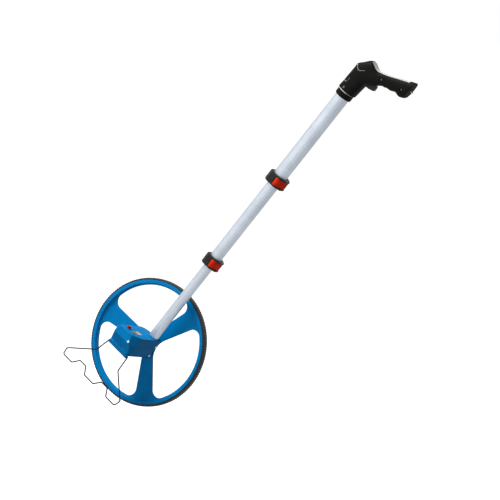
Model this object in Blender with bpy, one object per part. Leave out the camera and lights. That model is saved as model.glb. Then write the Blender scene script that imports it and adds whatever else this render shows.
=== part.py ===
# Measuring wheel: a spoked wheel of one metre round, a geared counter in its housing,
# a three-section telescopic tube with lever clamps, a pistol grip and a folding wire stand.
# It is built upright about the wheel's hub, in metres: X towards the user, Y along the
# axle and away from the counter, Z up the tube. At the end it leans on its stand.
import math

import bmesh
import bpy
from mathutils import Matrix, Vector

# Fits
GAP = 0.0003
RUN_GAP = 0.0005
OVERRUN = 0.004
WELD = 0.000003
SMOOTH_ANGLE = math.radians(32.0)
SETTLE_STEPS = 40

# Wheel and tyre
CIRCUMFERENCE = 1.0
TYRE_RADIUS = CIRCUMFERENCE / (2 * math.pi)
TYRE_WIDTH = 0.0172
TYRE_DEPTH = 0.0062
TYRE_SHOULDER = 0.0022
RIB_COUNT = 60
RIB_DEPTH = 0.0008
RIM_WIDTH = 0.020
RIM_BEAD = 0.0011
RIM_DEPTH = 0.0064
WEB_THICKNESS = 0.0042
SPOKE_COUNT = 3
SPOKE_ANGLE = math.radians(66.3)
SPOKE_ROOT_HALF = 0.0115
SPOKE_FLARE = math.radians(5.3)
OPENING_MARGIN = 0.0042
OPENING_ROOT_FILLET = 0.048
OPENING_RIM_FILLET = 0.020
HUB_RADIUS = 0.0190
HUB_FRONT = 0.0110
HUB_BACK = 0.0105
HUB_CHAMFER = 0.0015

# Axle, sleeve and bearings
AXLE_RADIUS = 0.0040
BEARING_RADIUS = 0.0110
BEARING_WIDTH = 0.0060
SLEEVE_WALL = 0.0020
NOSE_RADIUS = 0.0063
SLEEVE_FLOOR = 0.0016
NUT_RADIUS = 0.0065
NUT_HEIGHT = 0.0040
CAP_DEPTH = 0.0064
CAP_WALL = 0.0014

# Housing
HOUSING_LEFT = 0.032
HOUSING_RIGHT = 0.031
HOUSING_FRONT = 0.142
HOUSING_REAR = 0.0124
HOUSING_WALL = 0.0022
HOUSING_FLOOR = 0.0250
TOP_HEIGHT = 0.0266
TOP_SLOPE = math.radians(6.7)
SEAM_HEIGHT = 0.0048
FRONT_RADIUS = 0.0040
REAR_RADIUS = 0.0190
TOP_ROUND = 0.0022
TOP_EDGE_ANGLE = math.radians(27.0)
TOP_FACE_ANGLE = math.radians(10.0)
FACET_TOP = 0.0172
FACET_FOOT = 0.0077
FACET_RUN = 0.0290
LOWER_STEP = 0.0012
HINGE_RADIUS = 0.0060
HINGE_INSET = 0.0200
HINGE_DROP = 0.0016

# Counter
GEAR_MODULE = 0.0010
GEAR_WIDTH = 0.0030
DRIVE_TEETH = 18
LAY_TEETH = 14
ADDENDUM_SHARE = 0.75
DEDENDUM_SHARE = 1.10
TIP_SHARE = 0.24
ROOT_SHARE = 0.54
DRUM_COUNT = 5
DRUM_RADIUS = 0.0090
DRUM_WIDTH = 0.0046
DRUM_PITCH = 0.0072
DRUM_BOSS = 0.0060
CARRY_TEETH = 8
CARRY_ROOT_SHARE = 0.7
CARRY_WIDTH = 0.0016
PIN_RADIUS = 0.0010
SHAFT_RADIUS = 0.0015
LAY_SHAFT_RADIUS = 0.0025
COUNTER_SIDE = 0.0030
COUNTER_MIDDLE = 0.1040
WINDOW_LENGTH = 0.0390
WINDOW_WIDTH = 0.0110
WINDOW_DEPTH = 0.0014
WINDOW_FLANGE = 0.0016
DRUM_CLEARANCE = 0.0012
FRAME_SHEET = 0.0014
FRAME_HALF = 0.0115
BUTTON_RADIUS = 0.0048
BUTTON_RISE = 0.0072
BUTTON_SIDE = 0.0165
BUTTON_PLACE = 0.1130
BUTTON_FLANGE = 0.0016
BUTTON_STEM = 0.0070

# Tubes, from the lowest up
LOWER_RADIUS = 0.0125
MIDDLE_RADIUS = 0.0155
UPPER_RADIUS = 0.0185
TUBE_WALL = 0.0012
TUBE_SIDE = 0.0160
TUBE_FLUTE = 0.0004
FLUTE_COUNT = 12
LOWER_SHOWN = 0.2340
MIDDLE_SHOWN = 0.2360
UPPER_SHOWN = 0.2520
TUBE_OVERLAP = 0.0620
TUBE_FOOT = 0.0200
BUSH_LENGTH = 0.0240
BUSH_RIM = 0.0020

# Clamps
CLAMP_LENGTH = 0.0280
CLAMP_WALL = 0.0050
CLAMP_FLANGE = 0.0040
CLAMP_SLEEVE = 0.0022
CLAMP_CHAMFER_SHARE = 0.60
CLAMP_EAR_SHARE = 0.42
CLAMP_ROUND = 0.0035
LEVER_END = math.radians(-78.0)
LEVER_START = math.radians(1.0)
LEVER_PIN_ANGLE = math.radians(5.0)
LEVER_STANDOFF = 0.0008
POCKET_END = math.radians(-84.0)
POCKET_START = math.radians(26.0)
LEVER_THICKNESS = 0.0042
LEVER_PIN_RADIUS = 0.0015
LEVER_KNUCKLE = 0.0034

# Bracket that joins tube and axle
BRACKET_SHEET = 0.0034
BRACKET_FRONT = 0.0236
BRACKET_TOP = 0.0200
BRACKET_FOOT = 0.0218
BRACKET_LEFT = 0.0085
BOLT_RADIUS = 0.0025
BOLT_HEAD = 0.0042
BOLT_HEAD_HEIGHT = 0.0024
BOLT_DROP = 0.0085

# Brake
BRAKE_PIN_SIDE = 0.0250
BRAKE_PIN_DROP = 0.0182
BRAKE_PIN_RADIUS = 0.0016
BRAKE_THICKNESS = 0.0040
BRAKE_ARM_WIDTH = 0.0042
BRAKE_END = 0.0110
BRAKE_EYE = 0.0042
BRAKE_GAP = 0.0012
BRAKE_PAD_DEPTH = 0.0024
BRAKE_PAD_SPAN = math.radians(42.0)

# Handle
COLLAR_RADIUS = 0.0222
COLLAR_HEIGHT = 0.0165
BARREL_HALF_WIDTH = 0.0208
HANDLE_SOCKET = 0.0560
GRIP_HALF_WIDTH = 0.0145
GRIP_REACH = 0.1330
SECTION_POWER = 2.6
BARREL_END_SHARE = 0.25
BARREL_BLEND_SHARE = 0.40
GRIP_FIRST = 8
SECTION_STEPS = 6
TRIGGER_HALF_WIDTH = 0.0066
TRIGGER_PIN_SIDE = 0.0265
TRIGGER_PIN_RISE = 0.0740
TRIGGER_EYE = 0.0040
TRIGGER_ROOT = 0.0060
TRIGGER_REACH = 0.0295
TRIGGER_DROP = 0.0150
TRIGGER_LIFT = 0.0060
TRIGGER_SLOT_TOP = 0.0125
TRIGGER_SLOT_BACK = 0.0052
TRIGGER_SLOT_FOOT = 0.0064
GRIP_SCREW_TAIL = 0.0190
HANDLE_SCREWS = [(-0.0050, 0.0230, 0.0206, -0.0145), (0.0570, 0.1000, 0.0130, 0.0090),
                 (GRIP_REACH - GRIP_SCREW_TAIL, 0.1160, 0.0120, 0.0080)]
STRAP_HALF_WIDTH = 0.0096
STRAP_DEPTH = 0.0060
STRAP_START = 0.0360
STRAP_TAIL = 0.0130
SCREW_RADIUS = 0.0030
SCREW_SHANK = 0.0014
SCREW_HEAD = 0.0014
SCREW_CROWN_SHARE = 0.6
SCREW_SINK = 0.0120
FRONT_SCREW_REACH = 0.0056
SIDE_SCREW_BACK = 0.0188
SIDE_SCREW_HIGH = 0.0095
SIDE_SCREW_LOW = 0.0185
FRONT_SCREW_SIDE = 0.0172
FRONT_SCREW_HEIGHT = 0.0095
LOOP_RISE = 0.1270
LOOP_HALF = 0.0045
LOOP_STANDS = 0.0070
LOOP_WIRE = 0.0009

# Stand
WIRE_RADIUS = 0.0016
STAND_SPLAY = math.radians(14.5)
STAND_REACH = 0.1060
STAND_KNEE = 0.0400
STAND_KNEE_SPREAD = 0.0064
STAND_TOE_TUCK = 0.0040
STAND_SHOULDER = 0.0890
STAND_HALF_WIDTH = 0.1000
STAND_TOE_HALF = 0.0640
STAND_NOTCH_OUTER = 0.0510
STAND_NOTCH_INNER = 0.0300
STAND_MIDDLE_TOE = 0.0160
STAND_NOTCH_DEPTH = 0.0180
STAND_BEND = 0.0060
HINGE_BEND = 0.0022
STAND_ENTRY = 0.0140

# Back and front points of the handle's sections, from the tube's axis and the collar's foot
SECTIONS = [((-0.0235, 0.0168), (0.0245, 0.0168)), ((-0.0225, 0.0300), (0.0260, 0.0290)),
            ((-0.0220, 0.0430), (0.0275, 0.0420)), ((-0.0214, 0.0600), (0.0300, 0.0570)),
            ((-0.0205, 0.0780), (0.0350, 0.0630)), ((-0.0180, 0.0920), (0.0405, 0.0680)),
            ((-0.0090, 0.1040), (0.0470, 0.0735)), ((0.0050, 0.1145), (0.0540, 0.0790)),
            ((0.0190, 0.1120), (0.0590, 0.0825)), ((0.0315, 0.1090), (0.0640, 0.0858)),
            ((0.0450, 0.1130), (0.0700, 0.0880)), ((0.0580, 0.1180), (0.0770, 0.0902)),
            ((0.0760, 0.1258), (0.0860, 0.0918)), ((0.0920, 0.1338), (0.0960, 0.0955)),
            ((0.1060, 0.1402), (0.1060, 0.0982)), ((0.1180, 0.1460), (0.1170, 0.0972)),
            ((0.1270, 0.1502), (0.1260, 0.1010)), ((0.1330, 0.1530), (0.1315, 0.1045))]


# Sizes that follow from those above
BEAD_RADIUS = TYRE_RADIUS - TYRE_DEPTH + RIM_BEAD
SEAT_RADIUS = TYRE_RADIUS - TYRE_DEPTH - GAP
LIP_RADIUS = SEAT_RADIUS - RIM_DEPTH
OPENING_RADIUS = LIP_RADIUS - OPENING_MARGIN
SLEEVE_RADIUS = BEARING_RADIUS + GAP + SLEEVE_WALL
TUBE_BACK = -(BRACKET_FRONT + GAP + LOWER_RADIUS)
HINGE_PLACE = -(HOUSING_FRONT - HINGE_INSET)
HINGE_HEIGHT = -(HOUSING_FLOOR + HINGE_DROP)
CLAMP_LOWER_FOOT = TOP_HEIGHT + LOWER_SHOWN
CLAMP_UPPER_FOOT = CLAMP_LOWER_FOOT + CLAMP_LENGTH + MIDDLE_SHOWN


def finish(name, colour, roughness, metallic=0.0):
    """A Principled material."""
    material = bpy.data.materials.new(name)
    material.use_nodes = True
    shader = material.node_tree.nodes["Principled BSDF"]
    shader.inputs["Base Color"].default_value = (*colour, 1.0)
    shader.inputs["Roughness"].default_value = roughness
    shader.inputs["Metallic"].default_value = metallic
    return material


BLUE = (0.0, 0.136, 0.40)
BLACK = (0.012, 0.012, 0.011)
RED = (0.38, 0.011, 0.004)
SILVER = (0.52, 0.56, 0.60)
STEEL = (0.45, 0.45, 0.46)
GREY = (0.11, 0.11, 0.11)
PALE = (0.60, 0.61, 0.62)
CLEAR = (0.70, 0.74, 0.76)


def empty(name, parent, place):
    """A pivot that carries one moving body."""
    pivot = bpy.data.objects.new(name, None)
    bpy.context.scene.collection.objects.link(pivot)
    pivot.parent = parent
    pivot.location = place
    return pivot


def add(name, bm, parent, colour, roughness=0.5, metallic=0.0, at=(0.0, 0.0, 0.0)):
    """Makes an object of a mesh, with a material of its own."""
    bmesh.ops.remove_doubles(bm, verts=bm.verts, dist=WELD)
    bmesh.ops.recalc_face_normals(bm, faces=bm.faces)
    mesh = bpy.data.meshes.new(name)
    bm.to_mesh(mesh)
    bm.free()
    mesh.shade_smooth()
    mesh.set_sharp_from_angle(angle=SMOOTH_ANGLE)
    mesh.materials.append(finish(name, colour, roughness, metallic))
    piece = bpy.data.objects.new(name, mesh)
    bpy.context.scene.collection.objects.link(piece)
    piece.parent = parent
    piece.location = at
    return piece


def combine(target, bm, operation, at=(0.0, 0.0, 0.0)):
    """Cuts a shape from an object, joins it on, or keeps only what they share."""
    name = target.name + "_" + operation.lower() + "_" + str(len(target.modifiers))
    tool = add(name, bm, target.parent, GREY, at=Vector(target.location) + Vector(at))
    tool.hide_render = True
    tool.display_type = "WIRE"
    step = target.modifiers.new(tool.name, "BOOLEAN")
    step.operation = operation
    step.solver = "EXACT"
    step.object = tool


def cut(target, bm, at=(0.0, 0.0, 0.0)):
    combine(target, bm, "DIFFERENCE", at)


def join(target, bm, at=(0.0, 0.0, 0.0)):
    combine(target, bm, "UNION", at)


def turned(profile, segments=32, axis="Z"):
    """A solid turned about an axis from (radius, height) points of a closed outline."""
    bm = bmesh.new()
    points = [bm.verts.new((radius, 0.0, height)) for radius, height in profile]
    edges = []
    for first, second in zip(points, points[1:] + points[:1]):
        if first.co.x > WELD or second.co.x > WELD:
            edges.append(bm.edges.new((first, second)))
    bmesh.ops.spin(bm, geom=points + edges, cent=(0, 0, 0), axis=(0, 0, 1),
                   angle=2 * math.pi, steps=segments, use_merge=True, use_duplicate=False)
    bmesh.ops.remove_doubles(bm, verts=bm.verts, dist=WELD)
    return swung(bm, axis)


def swung(bm, axis):
    """Turns a shape made along +Z so that its height runs along X or Y."""
    if axis == "Y":
        bm.transform(Matrix.Rotation(math.radians(-90), 4, "X"))
    if axis == "X":
        bm.transform(Matrix.Rotation(math.radians(90), 4, "Y"))
    return bm


def rod(radius, start, end, segments=24, axis="Z"):
    """A plain round bar from start to end along an axis."""
    return turned([(0, start), (radius, start), (radius, end), (0, end)], segments, axis)


def pipe(radius, bore, start, end, segments=32, axis="Z"):
    """A round tube from start to end along an axis."""
    return turned([(bore, start), (radius, start), (radius, end), (bore, end)], segments, axis)


def prism(outline, start, end):
    """A flat outline in X and Y, drawn up from start to end."""
    bm = bmesh.new()
    face = bm.faces.new([bm.verts.new((x, y, start)) for x, y in outline])
    drawn = bmesh.ops.extrude_face_region(bm, geom=[face])
    lifted = [item for item in drawn["geom"] if isinstance(item, bmesh.types.BMVert)]
    bmesh.ops.translate(bm, verts=lifted, vec=(0, 0, end - start))
    return bm


def side_prism(outline, start, end):
    """A flat outline in X and Z, drawn along Y from start to end."""
    bm = prism([(x, -z) for x, z in outline], start, end)
    bm.transform(Matrix.Rotation(math.radians(-90), 4, "X"))
    return bm


def end_prism(outline, start, end):
    """A flat outline in Y and Z, drawn along X from start to end."""
    bm = prism(outline, start, end)
    bm.transform(Matrix(((0, 0, 1, 0), (1, 0, 0, 0), (0, 1, 0, 0), (0, 0, 0, 1))))
    return bm


def block(low, high):
    """A box between two corners."""
    outline = [(low[0], low[1]), (high[0], low[1]), (high[0], high[1]), (low[0], high[1])]
    return prism(outline, low[2], high[2])


def arc(centre, radius, start, end, steps):
    """Points on an arc, ends included."""
    turns = [start + (end - start) * step / steps for step in range(steps + 1)]
    return [(centre[0] + radius * math.cos(t), centre[1] + radius * math.sin(t)) for t in turns]


def rounded(corners, radii, steps=4):
    """A polygon whose corners are rounded, each by its own radius."""
    points = []
    count = len(corners)
    for index, corner in enumerate(corners):
        here = Vector(corner)
        back = (Vector(corners[index - 1]) - here).normalized()
        ahead = (Vector(corners[(index + 1) % count]) - here).normalized()
        half = math.acos(max(-1.0, min(1.0, back.dot(ahead)))) / 2
        radius = radii[index]
        if radius <= 0:
            points.append(tuple(here))
            continue
        start = here + back * radius / math.tan(half)
        middle = here + (back + ahead).normalized() * radius / math.sin(half)
        sweep = math.pi - 2 * half
        side = 1 if back.x * ahead.y - back.y * ahead.x < 0 else -1
        spoke = start - middle
        for step in range(steps + 1):
            turn = side * sweep * step / steps
            points.append((middle.x + spoke.x * math.cos(turn) - spoke.y * math.sin(turn),
                           middle.y + spoke.x * math.sin(turn) + spoke.y * math.cos(turn)))
    return points


def gear_outline(teeth, module):
    """A gear's outline with straight-sided teeth, the first centred on +X."""
    pitch = teeth * module / 2
    tip = pitch + ADDENDUM_SHARE * module
    root = pitch - DEDENDUM_SHARE * module
    step = 2 * math.pi / teeth
    points = []
    for tooth in range(teeth):
        middle = tooth * step
        for radius, share in ((root, -ROOT_SHARE), (tip, -TIP_SHARE),
                              (tip, TIP_SHARE), (root, ROOT_SHARE)):
            turn = middle + share * step / 2
            points.append((radius * math.cos(turn), radius * math.sin(turn)))
    return points


def wheel_disc(spin):
    """Rim, web, hub and three flared spokes, moulded in one."""
    half_rim = RIM_WIDTH / 2
    half_web = WEB_THICKNESS / 2
    bore = SLEEVE_RADIUS + GAP
    profile = [(bore, -HUB_FRONT), (HUB_RADIUS - HUB_CHAMFER, -HUB_FRONT),
               (HUB_RADIUS, HUB_CHAMFER - HUB_FRONT), (HUB_RADIUS, -half_web),
               (LIP_RADIUS - RIM_BEAD, -half_web), (LIP_RADIUS, -half_rim),
               (BEAD_RADIUS, -half_rim), (BEAD_RADIUS, RIM_BEAD - half_rim),
               (SEAT_RADIUS, RIM_BEAD - half_rim), (SEAT_RADIUS, half_rim - RIM_BEAD),
               (BEAD_RADIUS, half_rim - RIM_BEAD), (BEAD_RADIUS, half_rim),
               (LIP_RADIUS, half_rim), (LIP_RADIUS - RIM_BEAD, half_web),
               (HUB_RADIUS, half_web), (HUB_RADIUS, HUB_BACK), (bore, HUB_BACK)]
    disc = add("wheel_disc", turned(profile, 60, "Y"), spin, BLUE, 0.35)
    for spoke in range(SPOKE_COUNT):
        opening = side_prism(opening_outline(), -half_rim - OVERRUN, half_rim + OVERRUN)
        turn = SPOKE_ANGLE + (spoke + 0.5) * 2 * math.pi / SPOKE_COUNT
        opening.transform(Matrix.Rotation(-turn, 4, "Y"))
        cut(disc, opening)


def opening_outline():
    """One window between two spokes, its middle on +X, with flared straight sides."""
    half = math.pi / SPOKE_COUNT
    edge = half - SPOKE_FLARE
    start = Vector((math.sin(half), -math.cos(half))) * SPOKE_ROOT_HALF
    along = Vector((math.cos(edge), math.sin(edge)))
    inward = Vector((math.sin(edge), -math.cos(edge)))
    reach = start + inward * OPENING_RIM_FILLET
    run = along.dot(reach)
    inner = OPENING_RADIUS - OPENING_RIM_FILLET
    corner = reach + along * (math.sqrt(run * run - reach.dot(reach) + inner * inner) - run)
    rim_turn = math.atan2(corner.y, corner.x)
    upper = arc(corner, OPENING_RIM_FILLET, rim_turn, edge + math.pi / 2, 6)
    root = start.x - start.y / math.tan(edge)
    middle = root + OPENING_ROOT_FILLET / math.sin(edge)
    hub_end = arc((middle, 0.0), OPENING_ROOT_FILLET, edge + math.pi / 2, math.pi, 5)
    half_outline = upper + hub_end
    mirrored = [(x, -y) for x, y in reversed(half_outline[:-1])]
    rim = arc((0.0, 0.0), OPENING_RADIUS, -rim_turn, rim_turn, 14)
    return half_outline + mirrored + rim[1:-1]


def tyre(spin):
    """A moulded rubber ring with fine cross ribs, held between the rim's beads."""
    half = RIM_WIDTH / 2 - RIM_BEAD - GAP
    seat = SEAT_RADIUS + GAP
    wall = BEAD_RADIUS + GAP
    outer_half = TYRE_WIDTH / 2
    shoulder = TYRE_RADIUS - TYRE_SHOULDER
    crown = outer_half - TYRE_SHOULDER
    profile = [(seat, -half), (wall, -half), (shoulder, -outer_half), (TYRE_RADIUS, -crown),
               (TYRE_RADIUS, crown), (shoulder, outer_half), (wall, half), (seat, half)]
    bm = turned(profile, 2 * RIB_COUNT, "Y")
    for vert in bm.verts:
        radius = math.hypot(vert.co.x, vert.co.z)
        turn = math.atan2(vert.co.z, vert.co.x) / (math.pi / RIB_COUNT)
        if radius > shoulder + GAP and round(turn) % 2:
            vert.co.x *= (radius - RIB_DEPTH) / radius
            vert.co.z *= (radius - RIB_DEPTH) / radius
    add("tyre", bm, spin, BLACK, 0.8)


def hub(spin):
    """The sleeve pressed into the hub, its two bearings, the drive gear and the rear cap."""
    bore = BEARING_RADIUS + GAP
    floor = BEARING_WIDTH + GAP - HUB_FRONT + SLEEVE_FLOOR
    nose = gear_front() + GEAR_WIDTH
    inner = AXLE_RADIUS + RUN_GAP
    mid_bore = BEARING_RADIUS - SLEEVE_FLOOR
    front = -HUB_FRONT
    back = HUB_BACK - GAP
    profile = [(inner, gear_front()), (NOSE_RADIUS, gear_front()), (NOSE_RADIUS, front - GAP),
               (SLEEVE_RADIUS, front - GAP), (SLEEVE_RADIUS, back), (bore, back),
               (bore, back - BEARING_WIDTH - GAP), (mid_bore, back - BEARING_WIDTH - GAP),
               (mid_bore, floor - GAP), (inner, floor - GAP)]
    add("hub_sleeve", turned(profile, 24, "Y"), spin, STEEL, 0.35, 1.0)
    places = (("wheel_bearing_rear", back - BEARING_WIDTH, back),
              ("wheel_bearing_inner", floor, floor + BEARING_WIDTH))
    for name, start, end in places:
        race = BEARING_RADIUS if name.endswith("rear") else mid_bore - GAP
        add(name, pipe(race, AXLE_RADIUS + GAP, start, end, 24, "Y"), spin, STEEL, 0.3, 1.0)
    gear = add("drive_gear", side_prism(gear_outline(DRIVE_TEETH, GEAR_MODULE),
                                        gear_front(), nose), spin, PALE, 0.5)
    cut(gear, rod(NOSE_RADIUS + GAP, gear_front() - OVERRUN, nose + OVERRUN, 32, "Y"))
    cap_end = HUB_BACK + GAP + CAP_DEPTH
    cap = [(0, cap_end - CAP_WALL), (0, cap_end), (HUB_RADIUS - HUB_CHAMFER, cap_end),
           (HUB_RADIUS, cap_end - HUB_CHAMFER), (HUB_RADIUS, HUB_BACK + GAP),
           (HUB_RADIUS - CAP_WALL, HUB_BACK + GAP), (HUB_RADIUS - CAP_WALL, cap_end - CAP_WALL)]
    add("hub_cap", turned(cap, 24, "Y"), spin, BLACK, 0.5)


def gear_front():
    """Where the drive gear's front face lies along the axle."""
    return -(BRACKET_FRONT - BRACKET_SHEET - RUN_GAP)


def axle(root):
    """The shouldered axle held in the bracket, and its nut behind the wheel."""
    front = -BRACKET_FRONT - GAP
    end = HUB_BACK + NUT_HEIGHT + GAP
    profile = [(0, front - BOLT_HEAD_HEIGHT), (NUT_RADIUS, front - BOLT_HEAD_HEIGHT),
               (NUT_RADIUS, front), (AXLE_RADIUS, front), (AXLE_RADIUS, end), (0, end)]
    add("axle", turned(profile, 24, "Y"), root, STEEL, 0.3, 1.0)
    nut = rod(NUT_RADIUS, HUB_BACK + GAP, HUB_BACK + NUT_HEIGHT, 6, "Y")
    nut = add("axle_nut", nut, root, STEEL, 0.35, 1.0)
    cut(nut, rod(AXLE_RADIUS + GAP, HUB_BACK - OVERRUN, end + OVERRUN, 32, "Y"))


def plan(inset):
    """The housing seen from above, drawn in by an inset."""
    left = inset - HOUSING_LEFT
    right = HOUSING_RIGHT - inset
    front = inset - HOUSING_FRONT
    rear = -HOUSING_REAR - inset
    corners = [(left, front), (right, front), (right, rear), (left, rear)]
    radii = [FRONT_RADIUS - inset, 0.0, FRONT_RADIUS - inset, REAR_RADIUS - inset]
    return rounded(corners, radii, 6)


def top_at(side):
    """Height of the sloping top over a place across the housing."""
    return TOP_HEIGHT + side * math.tan(TOP_SLOPE)


def cover_block(inset, foot):
    """The cover's outer form, or its hollow: a sloping top and a cut front corner."""
    bm = prism(plan(inset), foot, foot + TOP_HEIGHT)
    for vert in bm.verts:
        if vert.co.z > foot + GAP:
            vert.co.z = top_at(vert.co.x) - inset
    top = Vector((HOUSING_RIGHT - FACET_TOP, -HOUSING_FRONT, top_at(HOUSING_RIGHT - FACET_TOP)))
    rear = Vector((HOUSING_RIGHT, FACET_RUN - HOUSING_FRONT, top_at(HOUSING_RIGHT)))
    low = Vector((HOUSING_RIGHT - FACET_FOOT, -HOUSING_FRONT, SEAM_HEIGHT))
    normal = (low - top).cross(rear - top).normalized()
    if normal.x < 0:
        normal = -normal
    geometry = list(bm.verts) + list(bm.edges) + list(bm.faces)
    sliced = bmesh.ops.bisect_plane(bm, geom=geometry, plane_co=top - normal * inset,
                                    plane_no=normal, clear_outer=True)
    rim = [item for item in sliced["geom_cut"] if isinstance(item, bmesh.types.BMEdge)]
    bmesh.ops.holes_fill(bm, edges=rim)
    bmesh.ops.recalc_face_normals(bm, faces=bm.faces)
    if inset == 0:
        upper = [edge for edge in bm.edges
                 if edge.calc_face_angle(0) > TOP_EDGE_ANGLE
                 and any(face.normal.z > math.cos(TOP_FACE_ANGLE) for face in edge.link_faces)]
        bmesh.ops.bevel(bm, geom=upper, offset=TOP_ROUND, offset_type="OFFSET", segments=2,
                        profile=0.5, affect="EDGES", material=-1)
    return bm


def tilted(bm):
    """Lays a shape built on a level top onto the sloping one."""
    bm.transform(Matrix.Rotation(-TOP_SLOPE, 4, "Y"))
    return bm


def housing_cover(root):
    """Upper shell: window and button openings, tube hole, and the rear hole for the hub."""
    cover = add("housing_cover", cover_block(0.0, SEAM_HEIGHT + GAP), root, BLUE, 0.35)
    cut(cover, cover_block(HOUSING_WALL, -SEAM_HEIGHT))
    seat = (COUNTER_SIDE, -COUNTER_MIDDLE, top_at(COUNTER_SIDE))
    half_width = WINDOW_WIDTH / 2
    half_length = WINDOW_LENGTH / 2
    opening = block((-half_width, -half_length, -HOUSING_WALL - OVERRUN),
                    (half_width, half_length, OVERRUN))
    cut(cover, tilted(opening), seat)
    rim = WINDOW_FLANGE + GAP
    recess = block((-half_width - rim, -half_length - rim, -WINDOW_DEPTH - GAP),
                   (half_width + rim, half_length + rim, OVERRUN))
    cut(cover, tilted(recess), seat)
    place = (-BUTTON_SIDE, -BUTTON_PLACE, top_at(-BUTTON_SIDE))
    cut(cover, tilted(rod(BUTTON_RADIUS + RUN_GAP, -HOUSING_WALL - OVERRUN, OVERRUN)), place)
    cut(cover, rod(LOWER_RADIUS + GAP, 0.0, 2 * TOP_HEIGHT, 32), (TUBE_SIDE, TUBE_BACK, 0.0))
    cut(cover, rear_hole())
    place = lay_axis()
    cut(cover, rod(SHAFT_RADIUS + GAP, -HOUSING_REAR - 2 * HOUSING_WALL, OVERRUN, 16, "Y"),
        (place.x, 0.0, place.y))
    cut(cover, rod(SCREW_SHANK + GAP, -HOUSING_WALL - OVERRUN, OVERRUN, 12, "X"),
        screw_places()[0])
    cut(cover, rod(SCREW_SHANK + GAP, -OVERRUN, HOUSING_WALL + OVERRUN, 12, "Y"),
        (FRONT_SCREW_SIDE, -HOUSING_FRONT, FRONT_SCREW_HEIGHT))


def rear_hole():
    """The hole in the rear wall that the hub's nose turns in."""
    return rod(NOSE_RADIUS + 2 * RUN_GAP, -HOUSING_REAR - 2 * HOUSING_WALL, OVERRUN, 32, "Y")


def base_block(inset, top):
    """The base's outer form, or its hollow: a sloping front over the hinge barrel."""
    bm = prism(plan(inset), inset - HOUSING_FLOOR, top)
    upper = Vector((0.0, LOWER_STEP - HOUSING_FRONT, SEAM_HEIGHT))
    lower = Vector((0.0, HINGE_PLACE - HINGE_RADIUS, HINGE_HEIGHT))
    slope = (lower - upper).normalized()
    front = Vector((0.0, slope.z, -slope.y))
    corner = Vector((HOUSING_RIGHT - FACET_FOOT, -HOUSING_FRONT, 0.0))
    side = Vector((FACET_RUN, -FACET_FOOT, 0.0)).normalized()
    for place, normal in ((upper, front), (corner, side)):
        geometry = list(bm.verts) + list(bm.edges) + list(bm.faces)
        sliced = bmesh.ops.bisect_plane(bm, geom=geometry, plane_co=place - normal * inset,
                                        plane_no=normal, clear_outer=True)
        rim = [item for item in sliced["geom_cut"] if isinstance(item, bmesh.types.BMEdge)]
        bmesh.ops.holes_fill(bm, edges=rim)
    bmesh.ops.recalc_face_normals(bm, faces=bm.faces)
    return bm


def drum_axis():
    """The drums' axis, across the housing and up."""
    height = top_at(COUNTER_SIDE) - HOUSING_WALL - DRUM_CLEARANCE - DRUM_RADIUS
    return Vector((COUNTER_SIDE, height))


def lay_axis():
    """The layshaft's axis: its gears reach the drive gear and the first drum's gear alike."""
    drums = drum_axis()
    reach = (DRIVE_TEETH + LAY_TEETH) * GEAR_MODULE / 2
    half = drums.length / 2
    out = math.sqrt(reach * reach - half * half)
    along = drums.normalized()
    return along * half + Vector((-along.y, along.x)) * out


def counter_rear():
    """Where the drums begin, along the axle."""
    return WINDOW_LENGTH / 2 - COUNTER_MIDDLE


def carry_drop():
    """How far the carry shaft lies below the drums' axis, clear of the drums and their gear."""
    gear_tip = (DRIVE_TEETH / 2 + ADDENDUM_SHARE) * GEAR_MODULE
    return max(DRUM_RADIUS, gear_tip) + 2 * GAP + PIN_RADIUS


def carry_radius():
    """A carry pinion reaches up between two drums to their necks."""
    return carry_drop() - DRUM_BOSS - GAP


def lay_turn():
    """How far the layshaft's gears are turned to mesh with the drive gear."""
    lay = lay_axis()
    step = 2 * math.pi / DRIVE_TEETH
    line = math.atan2(lay.y, lay.x)
    share = 0.5 - line / step
    return line + math.pi - share * 2 * math.pi / LAY_TEETH


def drum_turn():
    """How far the first drum's gear is turned to mesh with the layshaft's gear."""
    across = drum_axis() - lay_axis()
    line = math.atan2(across.y, across.x)
    share = 0.5 - (line - lay_turn()) / (2 * math.pi / LAY_TEETH)
    return line + math.pi - share * 2 * math.pi / DRIVE_TEETH


def frame_floor():
    """Height of the counter frame's floor."""
    carry = drum_axis().y - carry_drop() - carry_radius()
    return carry - 2 * RUN_GAP - FRAME_SHEET


def screw_places():
    """The two screws in the housing's right side, upper and lower."""
    return [(HOUSING_RIGHT, -SIDE_SCREW_BACK, SIDE_SCREW_HIGH),
            (HOUSING_RIGHT, -SIDE_SCREW_BACK, -SIDE_SCREW_LOW)]


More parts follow.
